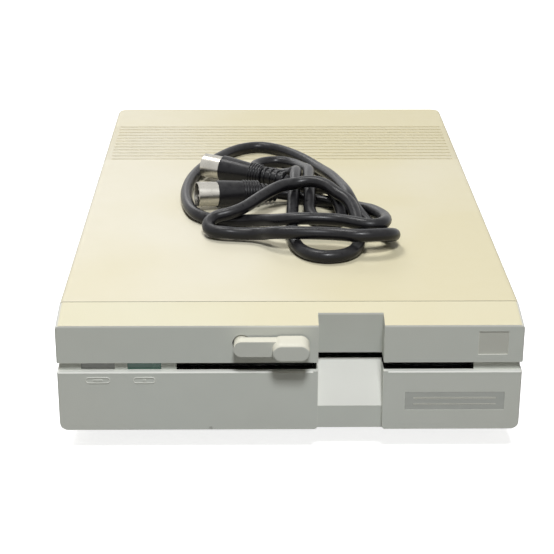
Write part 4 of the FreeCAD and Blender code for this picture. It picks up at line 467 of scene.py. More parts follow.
# %% The recipe
class Finish:
    """A material with its shader and the masks that its own steps can use."""

    def __init__(self, name, main, drift_to, rough, grains=1200.0, depth=0.00004, edge=None,
                 edge_width=0.0006, metallic=0.0, specular=0.5, blotches=9.0, shift=0.0):
        self.material = bpy.data.materials.new(name)
        self.material.use_nodes = True
        self.tree = self.material.node_tree
        self.drift = place_group(self.tree, DRIFT, Blotches_per_metre=blotches, Shift=shift)
        broad = spread(self.tree, self.drift.outputs["Broad"], 0.0, 1.0)
        self.colour = mix_colours(self.tree, broad, main, drift_to)
        # The edge colour is partly wear and partly a painted highlight.
        if edge is not None:
            self.over(place_group(self.tree, WEAR_AND_HIGHLIGHT, Edge_width=edge_width).outputs["Mask"], edge)
        grain = place_group(self.tree, GRAIN, Grains_per_metre=grains)
        bump = add_node(self.tree, "ShaderNodeBump", {
            "Height": grain.outputs["Height"], "Distance": depth, "Strength": 1.0})
        self.shader = self.tree.nodes["Principled BSDF"]
        fill_inputs(self.tree, self.shader, {
            "Metallic": metallic, "Specular IOR Level": specular, "Normal": bump.outputs["Normal"],
            "Roughness": spread(self.tree, self.drift.outputs["Mottle"], *rough)})

    def over(self, mask, colour):
        """Lays another colour over what is there."""
        self.colour = mix_colours(self.tree, mask, self.colour, colour)

    def over_in_part(self, mask, share, colour):
        """Lays a share of another colour over what is there."""
        self.over(add_math(self.tree, "MULTIPLY", mask, share), colour)

    def done(self):
        """Links the colour and gives the material."""
        fill_inputs(self.tree, self.shader, {"Base Color": self.colour})
        return self.material


finishes = {}
print("the recipe:", Finish.__doc__)

# %% [markdown]
# ## Casing plastic
# The case is one warm grey plastic, but years of light have changed it. Faces that look
# straight up have yellowed, more to the right than to the left. Rounded edges and slopes
# get a painted highlight almost white, the low part of the front gets a little painted bounce
# light, and the upright front has kept its grey. The material reads how far each place looks
# up, and blotches break up the yellow, because old plastic never changes evenly. The moulds
# were spark eroded, which leaves a fine matt grain.

# %% Masks along a piece
def ramp_between(tree, value, low, high):
    """A smooth step from 0 at low to 1 at high."""
    inputs = {"Value": value, "From Min": low, "From Max": high}
    return add_node(tree, "ShaderNodeMapRange", inputs, interpolation_type="SMOOTHSTEP").outputs["Result"]


def object_axis(tree, kind, axis):
    """One part of the piece's own normal or place: kind is Normal or Object."""
    source = tree.nodes.new("ShaderNodeTexCoord").outputs[kind]
    return add_node(tree, "ShaderNodeSeparateXYZ", {0: source}).outputs[axis]


def between(tree, value, low, high, soft):
    """A mask that is 1 from low to high and fades over the distance soft outside them."""
    rising = ramp_between(tree, value, low - soft, low)
    falling = ramp_between(tree, value, high + soft, high)
    return add_math(tree, "MULTIPLY", rising, falling)


print("mask helpers:", ramp_between.__name__, object_axis.__name__, between.__name__)


# %% Colours of the casing
KEPT_GREY = (198, 202, 195)
KEPT_GREY_WARM = (198, 199, 190)
# Edge colour of the casing: partly wear, partly a painted highlight.
WORN_AND_LIT_EDGE = (226, 226, 216)
YELLOWED = (238, 232, 212)
YELLOWED_BEZEL = (232, 227, 201)
YELLOWED_DEEP = (230, 221, 187)
# Painted highlight colours for slopes, rounded edges and rims:
HIGHLIGHT_PALE = (242, 242, 234)
HIGHLIGHT_PALE_BEZEL = (237, 237, 230)
HIGHLIGHT_PALE_WARM = (234, 231, 215)
# Painted shade for the grooved band of the lid:
GROOVE_SHADE = (196, 187, 160)
# Painted shade for the seam in front of the lid:
SEAM_SHADE = (120, 112, 92)
SCUFF = (92, 88, 80)
# The pale colour printed here is a painted highlight on slopes and rounded edges.
print("casing grey", KEPT_GREY, "yellows to", YELLOWED_DEEP, "and bleaches to", HIGHLIGHT_PALE)


# %% Painted highlights and painted bounce light
SLOPE_LOOKS_UP = (0.10, 0.42)
PALE_SHARE = 0.14


def paint_highlights(finish, highlight_colour, pale_below, rims):
    """Paints light: paler painted bounce light on the low part of the front, a painted highlight band below
    each rim (z, from y, to y) and a painted highlight on all slopes.
    """
    tree = finish.tree
    height = object_axis(tree, "Object", "Z")
    depth = object_axis(tree, "Object", "Y")
    if pale_below is not None:
        # Painted bounce light: the low part of the front is made paler.
        low_down = ramp_between(tree, height, pale_below + 0.002, pale_below - 0.002)
        finish.over_in_part(low_down, PALE_SHARE, highlight_colour)
    for rim_z, from_y, to_y in rims:
        # A painted highlight band just below each rim.
        under_rim = ramp_between(tree, height, rim_z - 0.0014, rim_z - 0.0002)
        at_rim = between(tree, depth, from_y, to_y, 0.0002)
        finish.over(add_math(tree, "MULTIPLY", under_rim, at_rim), highlight_colour)
    # A painted highlight on every slope.
    finish.over(ramp_between(tree, object_axis(tree, "Normal", "Z"), *SLOPE_LOOKS_UP), highlight_colour)


# The pale slopes printed here are a painted highlight.
print("slopes bleach where their normal's Z is from", *SLOPE_LOOKS_UP)


# %% Yellowed top
FLAT_LOOKS_UP = (0.80, 0.96)
YELLOW_FROM_LEFT = (-0.10, 0.09)
RIGHT_SHARE = 0.55


def yellow_the_top(finish, yellowed, yellow_above, lid_height):
    """Yellows what looks straight up above a height, and the rims of the grooves in the lid."""
    tree = finish.tree
    height = object_axis(tree, "Object", "Z")
    to_right = ramp_between(tree, object_axis(tree, "Object", "X"), *YELLOW_FROM_LEFT)
    blotch = spread(tree, finish.drift.outputs["Broad"], -0.25, 0.75)
    deep = add_math(tree, "ADD", add_math(tree, "MULTIPLY", to_right, RIGHT_SHARE), blotch)
    yellow = mix_colours(tree, clamp(tree, deep), yellowed, YELLOWED_DEEP)
    high_up = ramp_between(tree, height, yellow_above, yellow_above + 0.002)
    flat = ramp_between(tree, object_axis(tree, "Normal", "Z"), *FLAT_LOOKS_UP)
    looks_up = add_math(tree, "MULTIPLY", flat, high_up)
    if lid_height is not None:
        near_lid = ramp_between(tree, height, lid_height - 0.0012, lid_height - 0.0004)
        looks_up = add_math(tree, "MAXIMUM", looks_up, near_lid)
    finish.over(looks_up, yellow)


print("flat tops yellow where their normal's Z is from", *FLAT_LOOKS_UP)


# %% Casing plastic
# Shares of painted shade on the grooved band and in the seam:
GROOVE_SHADE_SHARE = 0.22
SEAM_SHADE_SHARE = 0.85


def casing_plastic(name, shift, highlight_colour=HIGHLIGHT_PALE, yellowed=YELLOWED, yellow_above=None,
                   lid_height=None, groove_shade_band=None, seam_y=None, rims=(), pale_below=None, spots=()):
    """Moulded casing plastic. All places are in metres. Spots are (x, y, z, reach)."""
    finish = Finish(name, KEPT_GREY, KEPT_GREY_WARM, (0.50, 0.62), grains=1500.0, depth=0.00003,
                    edge=WORN_AND_LIT_EDGE, edge_width=0.0005, shift=shift)
    tree = finish.tree
    depth = object_axis(tree, "Object", "Y")
    paint_highlights(finish, highlight_colour, pale_below, rims)
    if yellow_above is not None:
        yellow_the_top(finish, yellowed, yellow_above, lid_height)
    # Painted shade over the grooved band of the lid.
    if groove_shade_band is not None:
        finish.over_in_part(between(tree, depth, *groove_shade_band, 0.001), GROOVE_SHADE_SHARE, GROOVE_SHADE)
    # Painted shade in the seam: the lid's front edge is made dark.
    if seam_y is not None:
        finish.over_in_part(add_math(tree, "LESS_THAN", depth, seam_y), SEAM_SHADE_SHARE, SEAM_SHADE)
    for x, y, z, reach in spots:
        spot = place_group(tree, SPOT, X=x, Y=y, Z=z, Reach=reach)
        finish.over(spot.outputs["Mask"], SCUFF)
    return finish.done()


# Both shares printed here are painted shade, on the grooves and in the seam.
print("dust covers", GROOVE_SHADE_SHARE, "of the grooves and", SEAM_SHADE_SHARE, "of the seam")

# %% Casing finishes
FACE = FACE_Y * MM
# Rims with a band of painted highlight below them:
EDGE_RIM = (0.0662, FACE - 0.001, FACE + 0.001)
RECESS_RIM = (0.0681, FACE + 0.006, FACE + 0.012)
# The grooved band, which gets painted shade:
GROOVES = (FACE + 0.2357, FACE + 0.3046)
TOP_STARTS_AT = 0.060
LOWER_FACE_ENDS_AT = 0.042
SEAM_DEPTH = 0.00052
CORNER_NICK = (0.1035, -0.1462, 0.0675, 0.0012)
FACE_NICK = (-0.0365, -0.1662, 0.0142, 0.0016)

finishes["case_plastic"] = casing_plastic(
    "case_plastic", 0.0, yellow_above=TOP_STARTS_AT, lid_height=LID_Z * MM,
    groove_shade_band=GROOVES, seam_y=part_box("top_cover")[0][1] + SEAM_DEPTH, spots=(CORNER_NICK,))
finishes["bezel_plastic"] = casing_plastic(
    "bezel_plastic", 3.1, highlight_colour=HIGHLIGHT_PALE_BEZEL, yellowed=YELLOWED_BEZEL,
    yellow_above=TOP_STARTS_AT, pale_below=LOWER_FACE_ENDS_AT, rims=(EDGE_RIM, RECESS_RIM),
    spots=(FACE_NICK,))
# The lever's slopes get a warm painted highlight.
finishes["lever_plastic"] = casing_plastic("lever_plastic", 5.7, highlight_colour=HIGHLIGHT_PALE_WARM)
print("casing finishes:", sorted(finishes))

# %% [markdown]
# ## The other finishes
# Small parts get the same recipe with other values. Metals are metallic with a fine
# grain, black mouldings are matt, and rubber is the dullest of all. Each row holds the two
# colours, the roughness from shiny to dull, and what differs from the recipe.

# %% Plastics, rubber and plain metals
POLISHED = 0.000004
LAPPED = 0.00001
NARROW_EDGE = 0.0003
# The edge colours in these rows are partly wear and partly a painted highlight.
PLAIN_FINISHES = {
    "window_dark": ((140, 142, 138), (130, 132, 128), (0.2, 0.3), {"depth": POLISHED}),
    "window_teal": ((74, 112, 100), (66, 102, 90), (0.2, 0.3), {"depth": POLISHED}),
    "led_epoxy": ((190, 60, 48), (160, 44, 36), (0.12, 0.2), {"depth": POLISHED}),
    "foot_rubber": ((52, 52, 52), (44, 44, 44), (0.75, 0.9), {"edge": (84, 82, 78)}),
    "black_plastic": ((38, 38, 39), (31, 31, 32), (0.42, 0.55),
                      {"edge": (70, 70, 70), "edge_width": NARROW_EDGE}),
    "grey_plastic": ((118, 119, 118), (108, 109, 109), (0.45, 0.58),
                     {"edge": (150, 150, 148), "edge_width": NARROW_EDGE}),
    "white_plastic": ((226, 224, 214), (216, 213, 202), (0.4, 0.5), {}),
    "capacitor_sleeve": ((38, 62, 120), (32, 52, 104), (0.25, 0.35), {}),
    "head_ceramic": ((214, 208, 192), (200, 192, 176), (0.15, 0.25), {"depth": LAPPED}),
    "badge": ((190, 191, 182), (184, 184, 174), (0.4, 0.5), {"edge": (220, 219, 208)}),
    "ground_steel": ((190, 190, 188), (176, 176, 176), (0.16, 0.28),
                     {"metallic": 1.0, "grains": 3000.0, "depth": LAPPED}),
    "cast_frame": ((148, 149, 149), (134, 135, 136), (0.42, 0.58),
                   {"metallic": 0.7, "grains": 900.0, "depth": 0.00006, "edge": (196, 196, 194)}),
    "nickel": ((186, 183, 175), (166, 163, 155), (0.26, 0.36),
               {"metallic": 1.0, "grains": 2500.0, "depth": 0.000008, "blotches": 80.0}),
    "brass_bush": ((186, 158, 96), (168, 138, 80), (0.22, 0.34), {"metallic": 1.0}),
    "magnet": ((62, 61, 62), (52, 51, 53), (0.5, 0.65), {"metallic": 0.4, "grains": 2000.0}),
    "heat_sink": ((44, 45, 48), (38, 39, 42), (0.4, 0.5),
                  {"metallic": 0.8, "edge": (120, 120, 122), "edge_width": NARROW_EDGE}),
    "copper_coil": ((176, 98, 62), (156, 82, 50), (0.28, 0.4), {"metallic": 0.9}),
}
for finish_name, (main, drift_to, rough, differences) in PLAIN_FINISHES.items():
    finishes[finish_name] = Finish(finish_name, main, drift_to, rough, **differences).done()
print("plain finishes:", len(PLAIN_FINISHES))

# %% [markdown]
# ### Painted shade for the disk slot
# The lips of the disk slot are made matt black as painted shade, so that the slot reads as one
# dark line. They take very little gloss, which would otherwise turn grey under the lamp in front.

# %% Slot painted shade
slot_painted_shade = Finish("slot_painted_shade", (12, 12, 12), (9, 9, 9), (0.8, 0.9), grains=1500.0, specular=0.1).done()
print("slot finish:", slot_painted_shade.name)

# %% [markdown]
# ### Cable jacket
# The jacket is soft black vinyl. It has gone slightly grey where hands have rubbed it, and
# dust keeps to its upper side. Its sheen is broad, so the highlight along each fold is soft.

# %% Cable jacket
JACKET_DUST = (78, 77, 78)
JACKET_DUST_SHARE = 0.34


def vinyl_jacket():
    """Black vinyl with dust on what looks up."""
    finish = Finish("cable_jacket", (16, 16, 19), (23, 22, 25), (0.26, 0.38), grains=2600.0,
                    depth=0.000012, blotches=24.0, specular=0.26)
    upper_side = ramp_between(finish.tree, object_axis(finish.tree, "Normal", "Z"), 0.2, 1.0)
    mottle = spread(finish.tree, finish.drift.outputs["Mottle"], 0.0, JACKET_DUST_SHARE)
    finish.over(add_math(finish.tree, "MULTIPLY", upper_side, mottle), JACKET_DUST)
    return finish.done()


finishes["cable_jacket"] = vinyl_jacket()
print("jacket dust covers up to", JACKET_DUST_SHARE)

# %% [markdown]
# ### Brushed sheet
# Zinc-plated sheet and the name plate are rolled, and rolling leaves fine lines along them.
# The lines are a paler colour laid over the recipe.

# %% Brushed sheet
def brushed(finish, lines_per_metre, share, colour):
    """Lays fine lines of another colour over a finish, and gives the material."""
    lines = place_group(finish.tree, BRUSH, Lines_per_metre=lines_per_metre)
    finish.over(spread(finish.tree, lines.outputs["Lines"], 0.0, share), colour)
    return finish.done()


zinc = Finish("zinc_steel", (176, 178, 176), (158, 161, 160), (0.32, 0.48), metallic=0.9,
              blotches=60.0, edge=(214, 214, 210), edge_width=0.0004)
finishes["zinc_steel"] = brushed(zinc, 3000.0, 0.3, (198, 200, 198))
plate = Finish("name_plate", (140, 142, 137), (132, 134, 129), (0.35, 0.45), metallic=0.3)
finishes["name_plate"] = brushed(plate, 6000.0, 0.5, (156, 158, 152))
print("brushed:", finishes["zinc_steel"].name, finishes["name_plate"].name)

# %% [markdown]
# ### Circuit boards
# A board is green lacquer over copper. The tracks under the lacquer show as a lighter green
# that runs along the board and across it, and the solder pads stand on the tenth-of-an-inch
# grid that drilled boards of this age keep to. Stepped coordinates place both.

# %% Circuit board
PAD_PITCH = 0.00254
TRACK_HALF = 0.13
PAD_REACH = 0.28
TRACK_AREAS_PER_METRE = 55.0
PAD_AREAS_PER_METRE = 160.0


def off_middle(tree, axis):
    """How far a place is from the middle of its grid square along one axis, in pitches."""
    steps = add_math(tree, "DIVIDE", object_axis(tree, "Object", axis), PAD_PITCH)
    return add_math(tree, "SUBTRACT", add_math(tree, "FRACT", steps), 0.5)


def track_lines(tree, axis, side, share):
    """Tracks at each pitch along an axis, on the areas where a noise is on one side of a share."""
    area = add_noise(tree, object_place(tree), TRACK_AREAS_PER_METRE, 0.0)
    here = add_math(tree, side, area, share)
    line = add_math(tree, "LESS_THAN", add_math(tree, "ABSOLUTE", off_middle(tree, axis)), TRACK_HALF)
    return add_math(tree, "MULTIPLY", line, here)


def pads(tree):
    """Round pads in the grid squares, on the areas that have any."""
    squares = [add_math(tree, "MULTIPLY", off, off) for off in (off_middle(tree, "X"), off_middle(tree, "Y"))]
    distance = add_math(tree, "SQRT", add_math(tree, "ADD", *squares))
    area = add_noise(tree, object_place(tree), PAD_AREAS_PER_METRE, 0.0)
    here = add_math(tree, "GREATER_THAN", area, 0.56)
    return add_math(tree, "MULTIPLY", add_math(tree, "LESS_THAN", distance, PAD_REACH), here)


def circuit_board():
    """Green lacquer, paler tracks and tinned pads."""
    finish = Finish("circuit_board", (38, 92, 58), (32, 80, 50), (0.3, 0.42), grains=700.0)
    lengthwise = track_lines(finish.tree, "X", "GREATER_THAN", 0.52)
    crosswise = track_lines(finish.tree, "Y", "LESS_THAN", 0.46)
    finish.over(add_math(finish.tree, "MAXIMUM", lengthwise, crosswise), (70, 132, 84))
    finish.over(pads(finish.tree), (186, 186, 180))
    return finish.done()


finishes["circuit_board"] = circuit_board()
print("finishes:", len(finishes))

# %% [markdown]
# ## Dressing the solid pieces
# The packed record names a finish for every piece, so one loop gives each its material.

# %% Dress every solid
for part in frame["record"]["subparts"]:
    solid = nodes[part["node"]]
    solid.data.materials.clear()
    solid.data.materials.append(finishes[part["material_slot"]])
cable_line.materials.append(finishes["cable_jacket"])

# %% [markdown]
# ## Helpers for the pieces made here
# A piece is a mesh with its place in its points, so its object stays at the origin. It
# rides on the body that carries it, names its finish, and may stand for a plain solid.
# Geometry trees run on a carrier object, and their result is kept as a plain mesh.

# %% Piece helpers
def add_piece(name, mesh, slot_name, body="root", stands_for=(), finish=None):
    """Links a finished mesh as a piece with its material and body. The slot name picks the material unless a
    finish is given.
    """
    mesh.name = name
    piece = bpy.data.objects.new(name, mesh)
    bpy.context.scene.collection.objects.link(piece)
    mesh.materials.clear()
    mesh.materials.append(finish or finishes[slot_name])
    mesh.polygons.foreach_set("use_smooth", [True] * len(mesh.polygons))
    mesh.set_sharp_from_angle(angle=math.radians(35.0))
    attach(piece, body)
    for node in stands_for:
        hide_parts(node)
    return piece


def band(shape, first, second):
    """Joins two loops of points by a closed band of faces."""
    for k in range(len(first)):
        after = (k + 1) % len(first)
        shape.faces.new((first[k], first[after], second[after], second[k]))


def close_mesh(name, shape):
    """Turns a bmesh into a mesh whose faces all point outwards."""
    bmesh.ops.recalc_face_normals(shape, faces=shape.faces)
    mesh = bpy.data.meshes.new(name)
    shape.to_mesh(mesh)
    shape.free()
    return mesh


def lathe(name, profile, steps=48, ring=False):
    """A closed surface turned about X from (distance, radius) points in millimetres.

    It starts and ends on the axis, or is a ring.
    """
    shape = bmesh.new()
    rings = []
    for distance, radius in profile:
        x, r = distance * MM, radius * MM
        turns = [2 * math.pi * k / steps for k in range(steps if radius > 0 else 1)]
        rings.append([shape.verts.new((x, r * math.cos(t), r * math.sin(t))) for t in turns])
    for first, second in zip(rings, rings[1:] + rings[:1] * ring):
        for k in range(steps):
            corners = (first[k % len(first)], first[(k + 1) % len(first)],
                       second[(k + 1) % len(second)], second[k % len(second)])
            shape.faces.new(list(dict.fromkeys(corners)))
    return close_mesh(name, shape)


print("piece helpers:", add_piece.__name__, band.__name__, close_mesh.__name__, lathe.__name__)


# %% Geometry tree helpers
def new_tree(name, inputs):
    """A geometry tree with named inputs (name: kind), a material input and one geometry output."""
    tree = bpy.data.node_groups.new(name, "GeometryNodeTree")
    for title, kind in {"Geometry": "Geometry", **inputs, "Material": "Material"}.items():
        tree.interface.new_socket(title, in_out="INPUT", socket_type="NodeSocket" + kind)
    tree.interface.new_socket("Geometry", in_out="OUTPUT", socket_type="NodeSocketGeometry")
    return tree, tree.nodes.new("NodeGroupInput").outputs, tree.nodes.new("NodeGroupOutput")


def finish_tree(tree, given, result, geometry):
    """Ends a tree: instances made real, then the material set."""
    real = add_node(tree, "GeometryNodeRealizeInstances", {0: geometry})
    painted = add_node(tree, "GeometryNodeSetMaterial", {
        "Geometry": real.outputs[0], "Material": given["Material"]})
    fill_inputs(tree, result, {0: painted.outputs[0]})
    return tree


def run_tree(tree, name, points, values):
    """Runs a geometry tree on loose points with its inputs set. Gives the result as a plain mesh."""
    start = bpy.data.meshes.new("start")
    start.from_pydata(points, [], [])
    carrier = bpy.data.objects.new(name + "_carrier", start)
    bpy.context.scene.collection.objects.link(carrier)
    modifier = carrier.modifiers.new("maker", "NODES")
    modifier.node_group = tree
    for item in tree.interface.items_tree:
        if item.in_out == "INPUT" and item.name in values:
            modifier[item.identifier] = values[item.name]
    depsgraph = bpy.context.evaluated_depsgraph_get()
    mesh = bpy.data.meshes.new_from_object(carrier.evaluated_get(depsgraph), depsgraph=depsgraph)
    carrier.modifiers.remove(modifier)
    bpy.data.objects.remove(carrier)
    return mesh


print("tree helpers:", new_tree.__name__, finish_tree.__name__, run_tree.__name__)

# %% [markdown]
# ## The plugs
# Each plug is a moulded vinyl grip. A set of fine ribs gives the fingers hold, and behind it
# a narrower relief of thick rings lets the cable bend without breaking at the plug. The
# grip is turned from its profile. The rings repeat, so a geometry tree places them: a line
# of points, a ring swept round each, and a scale that falls towards the cable.

# %% Tree: a row of rings
def ring_row_tree():
    """Rings about X in a row. Their size runs from 1 to End scale."""
    tree, given, result = new_tree("ring_row", {
        "Count": "Int", "First": "Float", "Pitch": "Float", "Radius": "Float",
        "Width": "Float", "Height": "Float", "End scale": "Float"})
    start = add_node(tree, "ShaderNodeCombineXYZ", {"X": given["First"]})
    step = add_node(tree, "ShaderNodeCombineXYZ", {"X": given["Pitch"]})
    line = add_node(tree, "GeometryNodeMeshLine", {
        "Count": given["Count"], "Start Location": start.outputs[0], "Offset": step.outputs[0]})
    circle = add_node(tree, "GeometryNodeCurvePrimitiveCircle", {
        "Resolution": 40, "Radius": given["Radius"]})
    section = add_node(tree, "GeometryNodeCurvePrimitiveQuadrilateral", {
        "Width": given["Height"], "Height": given["Width"]})
    rounded = add_node(tree, "GeometryNodeFilletCurve", {
        "Curve": section.outputs[0], "Count": 2,
        "Radius": add_math(tree, "MULTIPLY", given["Width"], 0.3)}, mode="POLY")
    swept = add_node(tree, "GeometryNodeCurveToMesh", {
        "Curve": circle.outputs[0], "Profile Curve": rounded.outputs[0]})
    upright = add_node(tree, "GeometryNodeTransform", {
        "Geometry": swept.outputs[0], "Rotation": (0.0, math.pi / 2, 0.0)})
    index = tree.nodes.new("GeometryNodeInputIndex").outputs[0]
    last = add_math(tree, "MAXIMUM", add_math(tree, "SUBTRACT", given["Count"], 1.0), 1.0)
    share = add_math(tree, "DIVIDE", index, last)
    shrink = add_math(tree, "MULTIPLY", add_math(tree, "SUBTRACT", given["End scale"], 1.0), share)
    scale = add_math(tree, "ADD", shrink, 1.0)
    size = add_node(tree, "ShaderNodeCombineXYZ", {"X": 1.0, "Y": scale, "Z": scale})
    copies = add_node(tree, "GeometryNodeInstanceOnPoints", {
        "Points": line.outputs[0], "Instance": upright.outputs[0], "Scale": size.outputs[0]})
    return finish_tree(tree, given, result, copies.outputs[0])


RING_ROW = ring_row_tree()
print("geometry tree:", RING_ROW.name)


# %% Tree: round pins on points
def pin_tree():
    """A pin along X with its middle on every point and its rounded tip towards -X."""
    tree, given, result = new_tree("round_pins", {"Radius": "Float", "Length": "Float"})
    rod = add_node(tree, "GeometryNodeMeshCylinder", {
        "Vertices": 16, "Radius": given["Radius"], "Depth": given["Length"]})
    tip = add_node(tree, "GeometryNodeMeshUVSphere", {
        "Segments": 16, "Rings": 8, "Radius": given["Radius"]})
    to_tip = add_node(tree, "ShaderNodeCombineXYZ", {
        "Z": add_math(tree, "MULTIPLY", given["Length"], 0.5)})
    tip_place = add_node(tree, "GeometryNodeTransform", {
        "Geometry": tip.outputs[0], "Translation": to_tip.outputs[0]})
    both = add_node(tree, "GeometryNodeJoinGeometry", {0: rod.outputs[0]})
    tree.links.new(tip_place.outputs[0], both.inputs[0])
    lying = add_node(tree, "GeometryNodeTransform", {
        "Geometry": both.outputs[0], "Rotation": (0.0, -math.pi / 2, 0.0)})
    copies = add_node(tree, "GeometryNodeInstanceOnPoints", {
        "Points": given["Geometry"], "Instance": lying.outputs[0]})
    return finish_tree(tree, given, result, copies.outputs[0])


PINS = pin_tree()
print("geometry tree:", PINS.name)

# %% Sizes of a plug, in millimetres
SHELL_LENGTH = 11.0
SHELL_R = 6.6
GRIP_R = 7.3
CORE_FACE = 6.0
CORE_R = 6.0
CORE_GAP = 0.1
PIN_R = 0.7
PIN_LENGTH = 4.0
PIN_OUT = 1.9
PIN_RING_R = 3.5
PIN_TURNS = [math.radians(-30 + 60 * k) for k in range(5)]
RIB_PITCH = 1.55
RELIEF_RINGS = 4
RELIEF_R = 4.7
NECK_R = 4.5
NECK_END_R = 3.9


def plug_matrix(mouth, cable_end):
    """The turn and place that take a plug made along X to its line on the lid."""
    start, end = on_lid(mouth), on_lid(cable_end)
    return Matrix.Translation(start) @ (end - start).to_track_quat("X", "Z").to_matrix().to_4x4()


def row_of_rings(name, count, first, pitch, radius, width, height, end_scale):
    """Vinyl rings about X, from sizes in millimetres."""
    return run_tree(RING_ROW, name, [], {
        "Count": count, "First": first * MM, "Pitch": pitch * MM, "Radius": radius * MM,
        "Width": width * MM, "Height": height * MM, "End scale": end_scale,
        "Material": finishes["cable_jacket"]})


def plug_pins(name):
    """One pin in the middle of the insert and the others on a ring."""
    x = (CORE_FACE - PIN_OUT) * MM
    ring_r = PIN_RING_R * MM
    points = [(x, 0, 0)] + [(x, ring_r * math.cos(t), ring_r * math.sin(t)) for t in PIN_TURNS]
    return run_tree(PINS, name, points, {
        "Radius": PIN_R * MM, "Length": PIN_LENGTH * MM, "Material": finishes["nickel"]})


print("plug:", 1 + len(PIN_TURNS), "pins in a shell", 2 * SHELL_R, "mm wide")


# %% Make both plugs
def plug_pieces(name, mouth, cable_end, rib_start, rib_count, rib_r, solid):
    """Grip, ribs, relief rings, insert, pins and tube of one plug. Gives the pieces."""
    place = plug_matrix(mouth, cable_end)
    length = (on_lid(cable_end) - on_lid(mouth)).length / MM
    grip_end = rib_start + RIB_PITCH * rib_count
    grip = lathe(name + "_grip", [
        (SHELL_LENGTH, 0), (SHELL_LENGTH, GRIP_R - 0.5), (SHELL_LENGTH + 0.5, GRIP_R),
        (SHELL_LENGTH + 3, GRIP_R), (rib_start, rib_r), (grip_end, rib_r - 0.3),
        (grip_end + 0.6, NECK_R), (length - 0.4, NECK_END_R), (length, NECK_END_R - 0.4), (length, 0)])
    ribs = row_of_rings(name + "_ribs", rib_count, rib_start + 0.8, RIB_PITCH, rib_r + 0.05,
                        width=0.8, height=0.9, end_scale=0.96)
    relief_pitch = (length - grip_end - 3.2) / (RELIEF_RINGS - 1)
    relief = row_of_rings(name + "_relief", RELIEF_RINGS, grip_end + 2.0, relief_pitch, RELIEF_R,
                          width=1.25, height=1.3, end_scale=0.86)
    insert = lathe(name + "_insert", [
        (CORE_FACE, 0), (CORE_FACE, CORE_R - 0.6), (CORE_FACE + 0.4, CORE_R - CORE_GAP),
        (SHELL_LENGTH, CORE_R - CORE_GAP), (SHELL_LENGTH, 0)])
    tube = lathe(name + "_tube", [
        (0.2, CORE_R), (0, CORE_R + 0.2), (0, SHELL_R - 0.25), (0.25, SHELL_R),
        (SHELL_LENGTH, SHELL_R), (SHELL_LENGTH, CORE_R)], steps=96, ring=True)
    made = []
    for title, mesh, slot_name, stands_for in (
            ("grip", grip, "cable_jacket", (solid,)),
            ("ribs", ribs, "cable_jacket", ()),
            ("relief", relief, "cable_jacket", ()),
            ("insert", insert, "black_plastic", ()),
            ("pins", plug_pins(name + "_pins"), "nickel", ()),
            ("tube", tube, "nickel", (name + "_shell",))):
        mesh.transform(place)
        made.append(add_piece(name + "_" + title, mesh, slot_name, stands_for=stands_for))
    print(name, round(length, 1), "mm long, faces:", [len(piece.data.polygons) for piece in made])
    return made


first_plug = plug_pieces("plug_1", PLUG_1_MOUTH, CABLE_POINTS[0], 25.0, 6, 6.9, "plug_1_body")
second_plug = plug_pieces("plug_2", PLUG_2_MOUTH, CABLE_POINTS[-1], 28.0, 5, 5.9, "plug_2_body")
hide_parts("plug_cores")

# %% [markdown]
# ## The cable between its plugs
# The cable leaves the first plug and ends in the second.

print("cord:", cable.name, "with", len(first_plug) + len(second_plug), "pieces of its plugs")

# %% [markdown]
# ## Painted shade in the disk slot
# Seen from a little above, the floor of a pale slot would catch the light and spoil its dark
# line. So a thin black sheet of painted shade lies on the slot's lower lip. It is one flat strip
# with a notch for the ramp of the finger recess, a twentieth of a millimetre thick.

# %% Sheet of painted slot shade, in millimetres
def middle_of(node):
    """Middle of a node's box."""
    low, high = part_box(node)
    return [(a + b) / 2 / MM for a, b in zip(low, high)]


SLOT_X = middle_of("spindle_hub")[0]
SLOT_LEFT = SLOT_X - 68.2
SLOT_RIGHT = SLOT_X + 68.2
SLOT_FLOOR_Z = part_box("drive_window")[0][2] / MM + 1.0
LIP_FRONT = FACE_Y + 2.55
LIP_BACK = FACE_Y + 5.0
RECESS_LEFT = SLOT_X - 3.4
RECESS_RIGHT = SLOT_X + 26.6
RAMP_TOP_Y = FACE_Y + 15.05
SHADE_SHEET_BACK = FACE_Y + 17.2
SHADE_SHEET_SIDE = 2.2
SHADE_SHEET = 0.05

# Outline of the black sheet of painted shade.
shade_sheet_outline = [
    (SLOT_LEFT, LIP_FRONT), (RECESS_LEFT - 0.8, LIP_FRONT), (RECESS_LEFT - 0.1, RAMP_TOP_Y),
    (RECESS_RIGHT + 0.1, RAMP_TOP_Y), (RECESS_RIGHT + 0.4, LIP_FRONT), (SLOT_RIGHT, LIP_FRONT),
    (SLOT_RIGHT, LIP_BACK), (RECESS_RIGHT + SHADE_SHEET_SIDE, LIP_BACK),
    (RECESS_RIGHT + SHADE_SHEET_SIDE, SHADE_SHEET_BACK), (RECESS_LEFT - SHADE_SHEET_SIDE, SHADE_SHEET_BACK),
    (RECESS_LEFT - SHADE_SHEET_SIDE, LIP_BACK), (SLOT_LEFT, LIP_BACK),
]


def plan_prism(name, outline, low, high):
    """A closed prism over an outline in plan, between two heights."""
    shape = bmesh.new()
    floor, roof = ([shape.verts.new((x * MM, y * MM, z * MM)) for x, y in outline] for z in (low, high))
    shape.faces.new(floor)
    shape.faces.new(roof)
    band(shape, floor, roof)
    return close_mesh(name, shape)


# The black sheet is painted shade on the slot's lower lip.
shade_sheet_mesh = plan_prism("slot_lining", shade_sheet_outline, SLOT_FLOOR_Z, SLOT_FLOOR_Z + SHADE_SHEET)
add_piece("slot_lining", shade_sheet_mesh, "black_plastic", finish=slot_painted_shade)
print("slot lining:", len(shade_sheet_outline), "corners, floor at", round(SLOT_FLOOR_Z, 2), "mm")

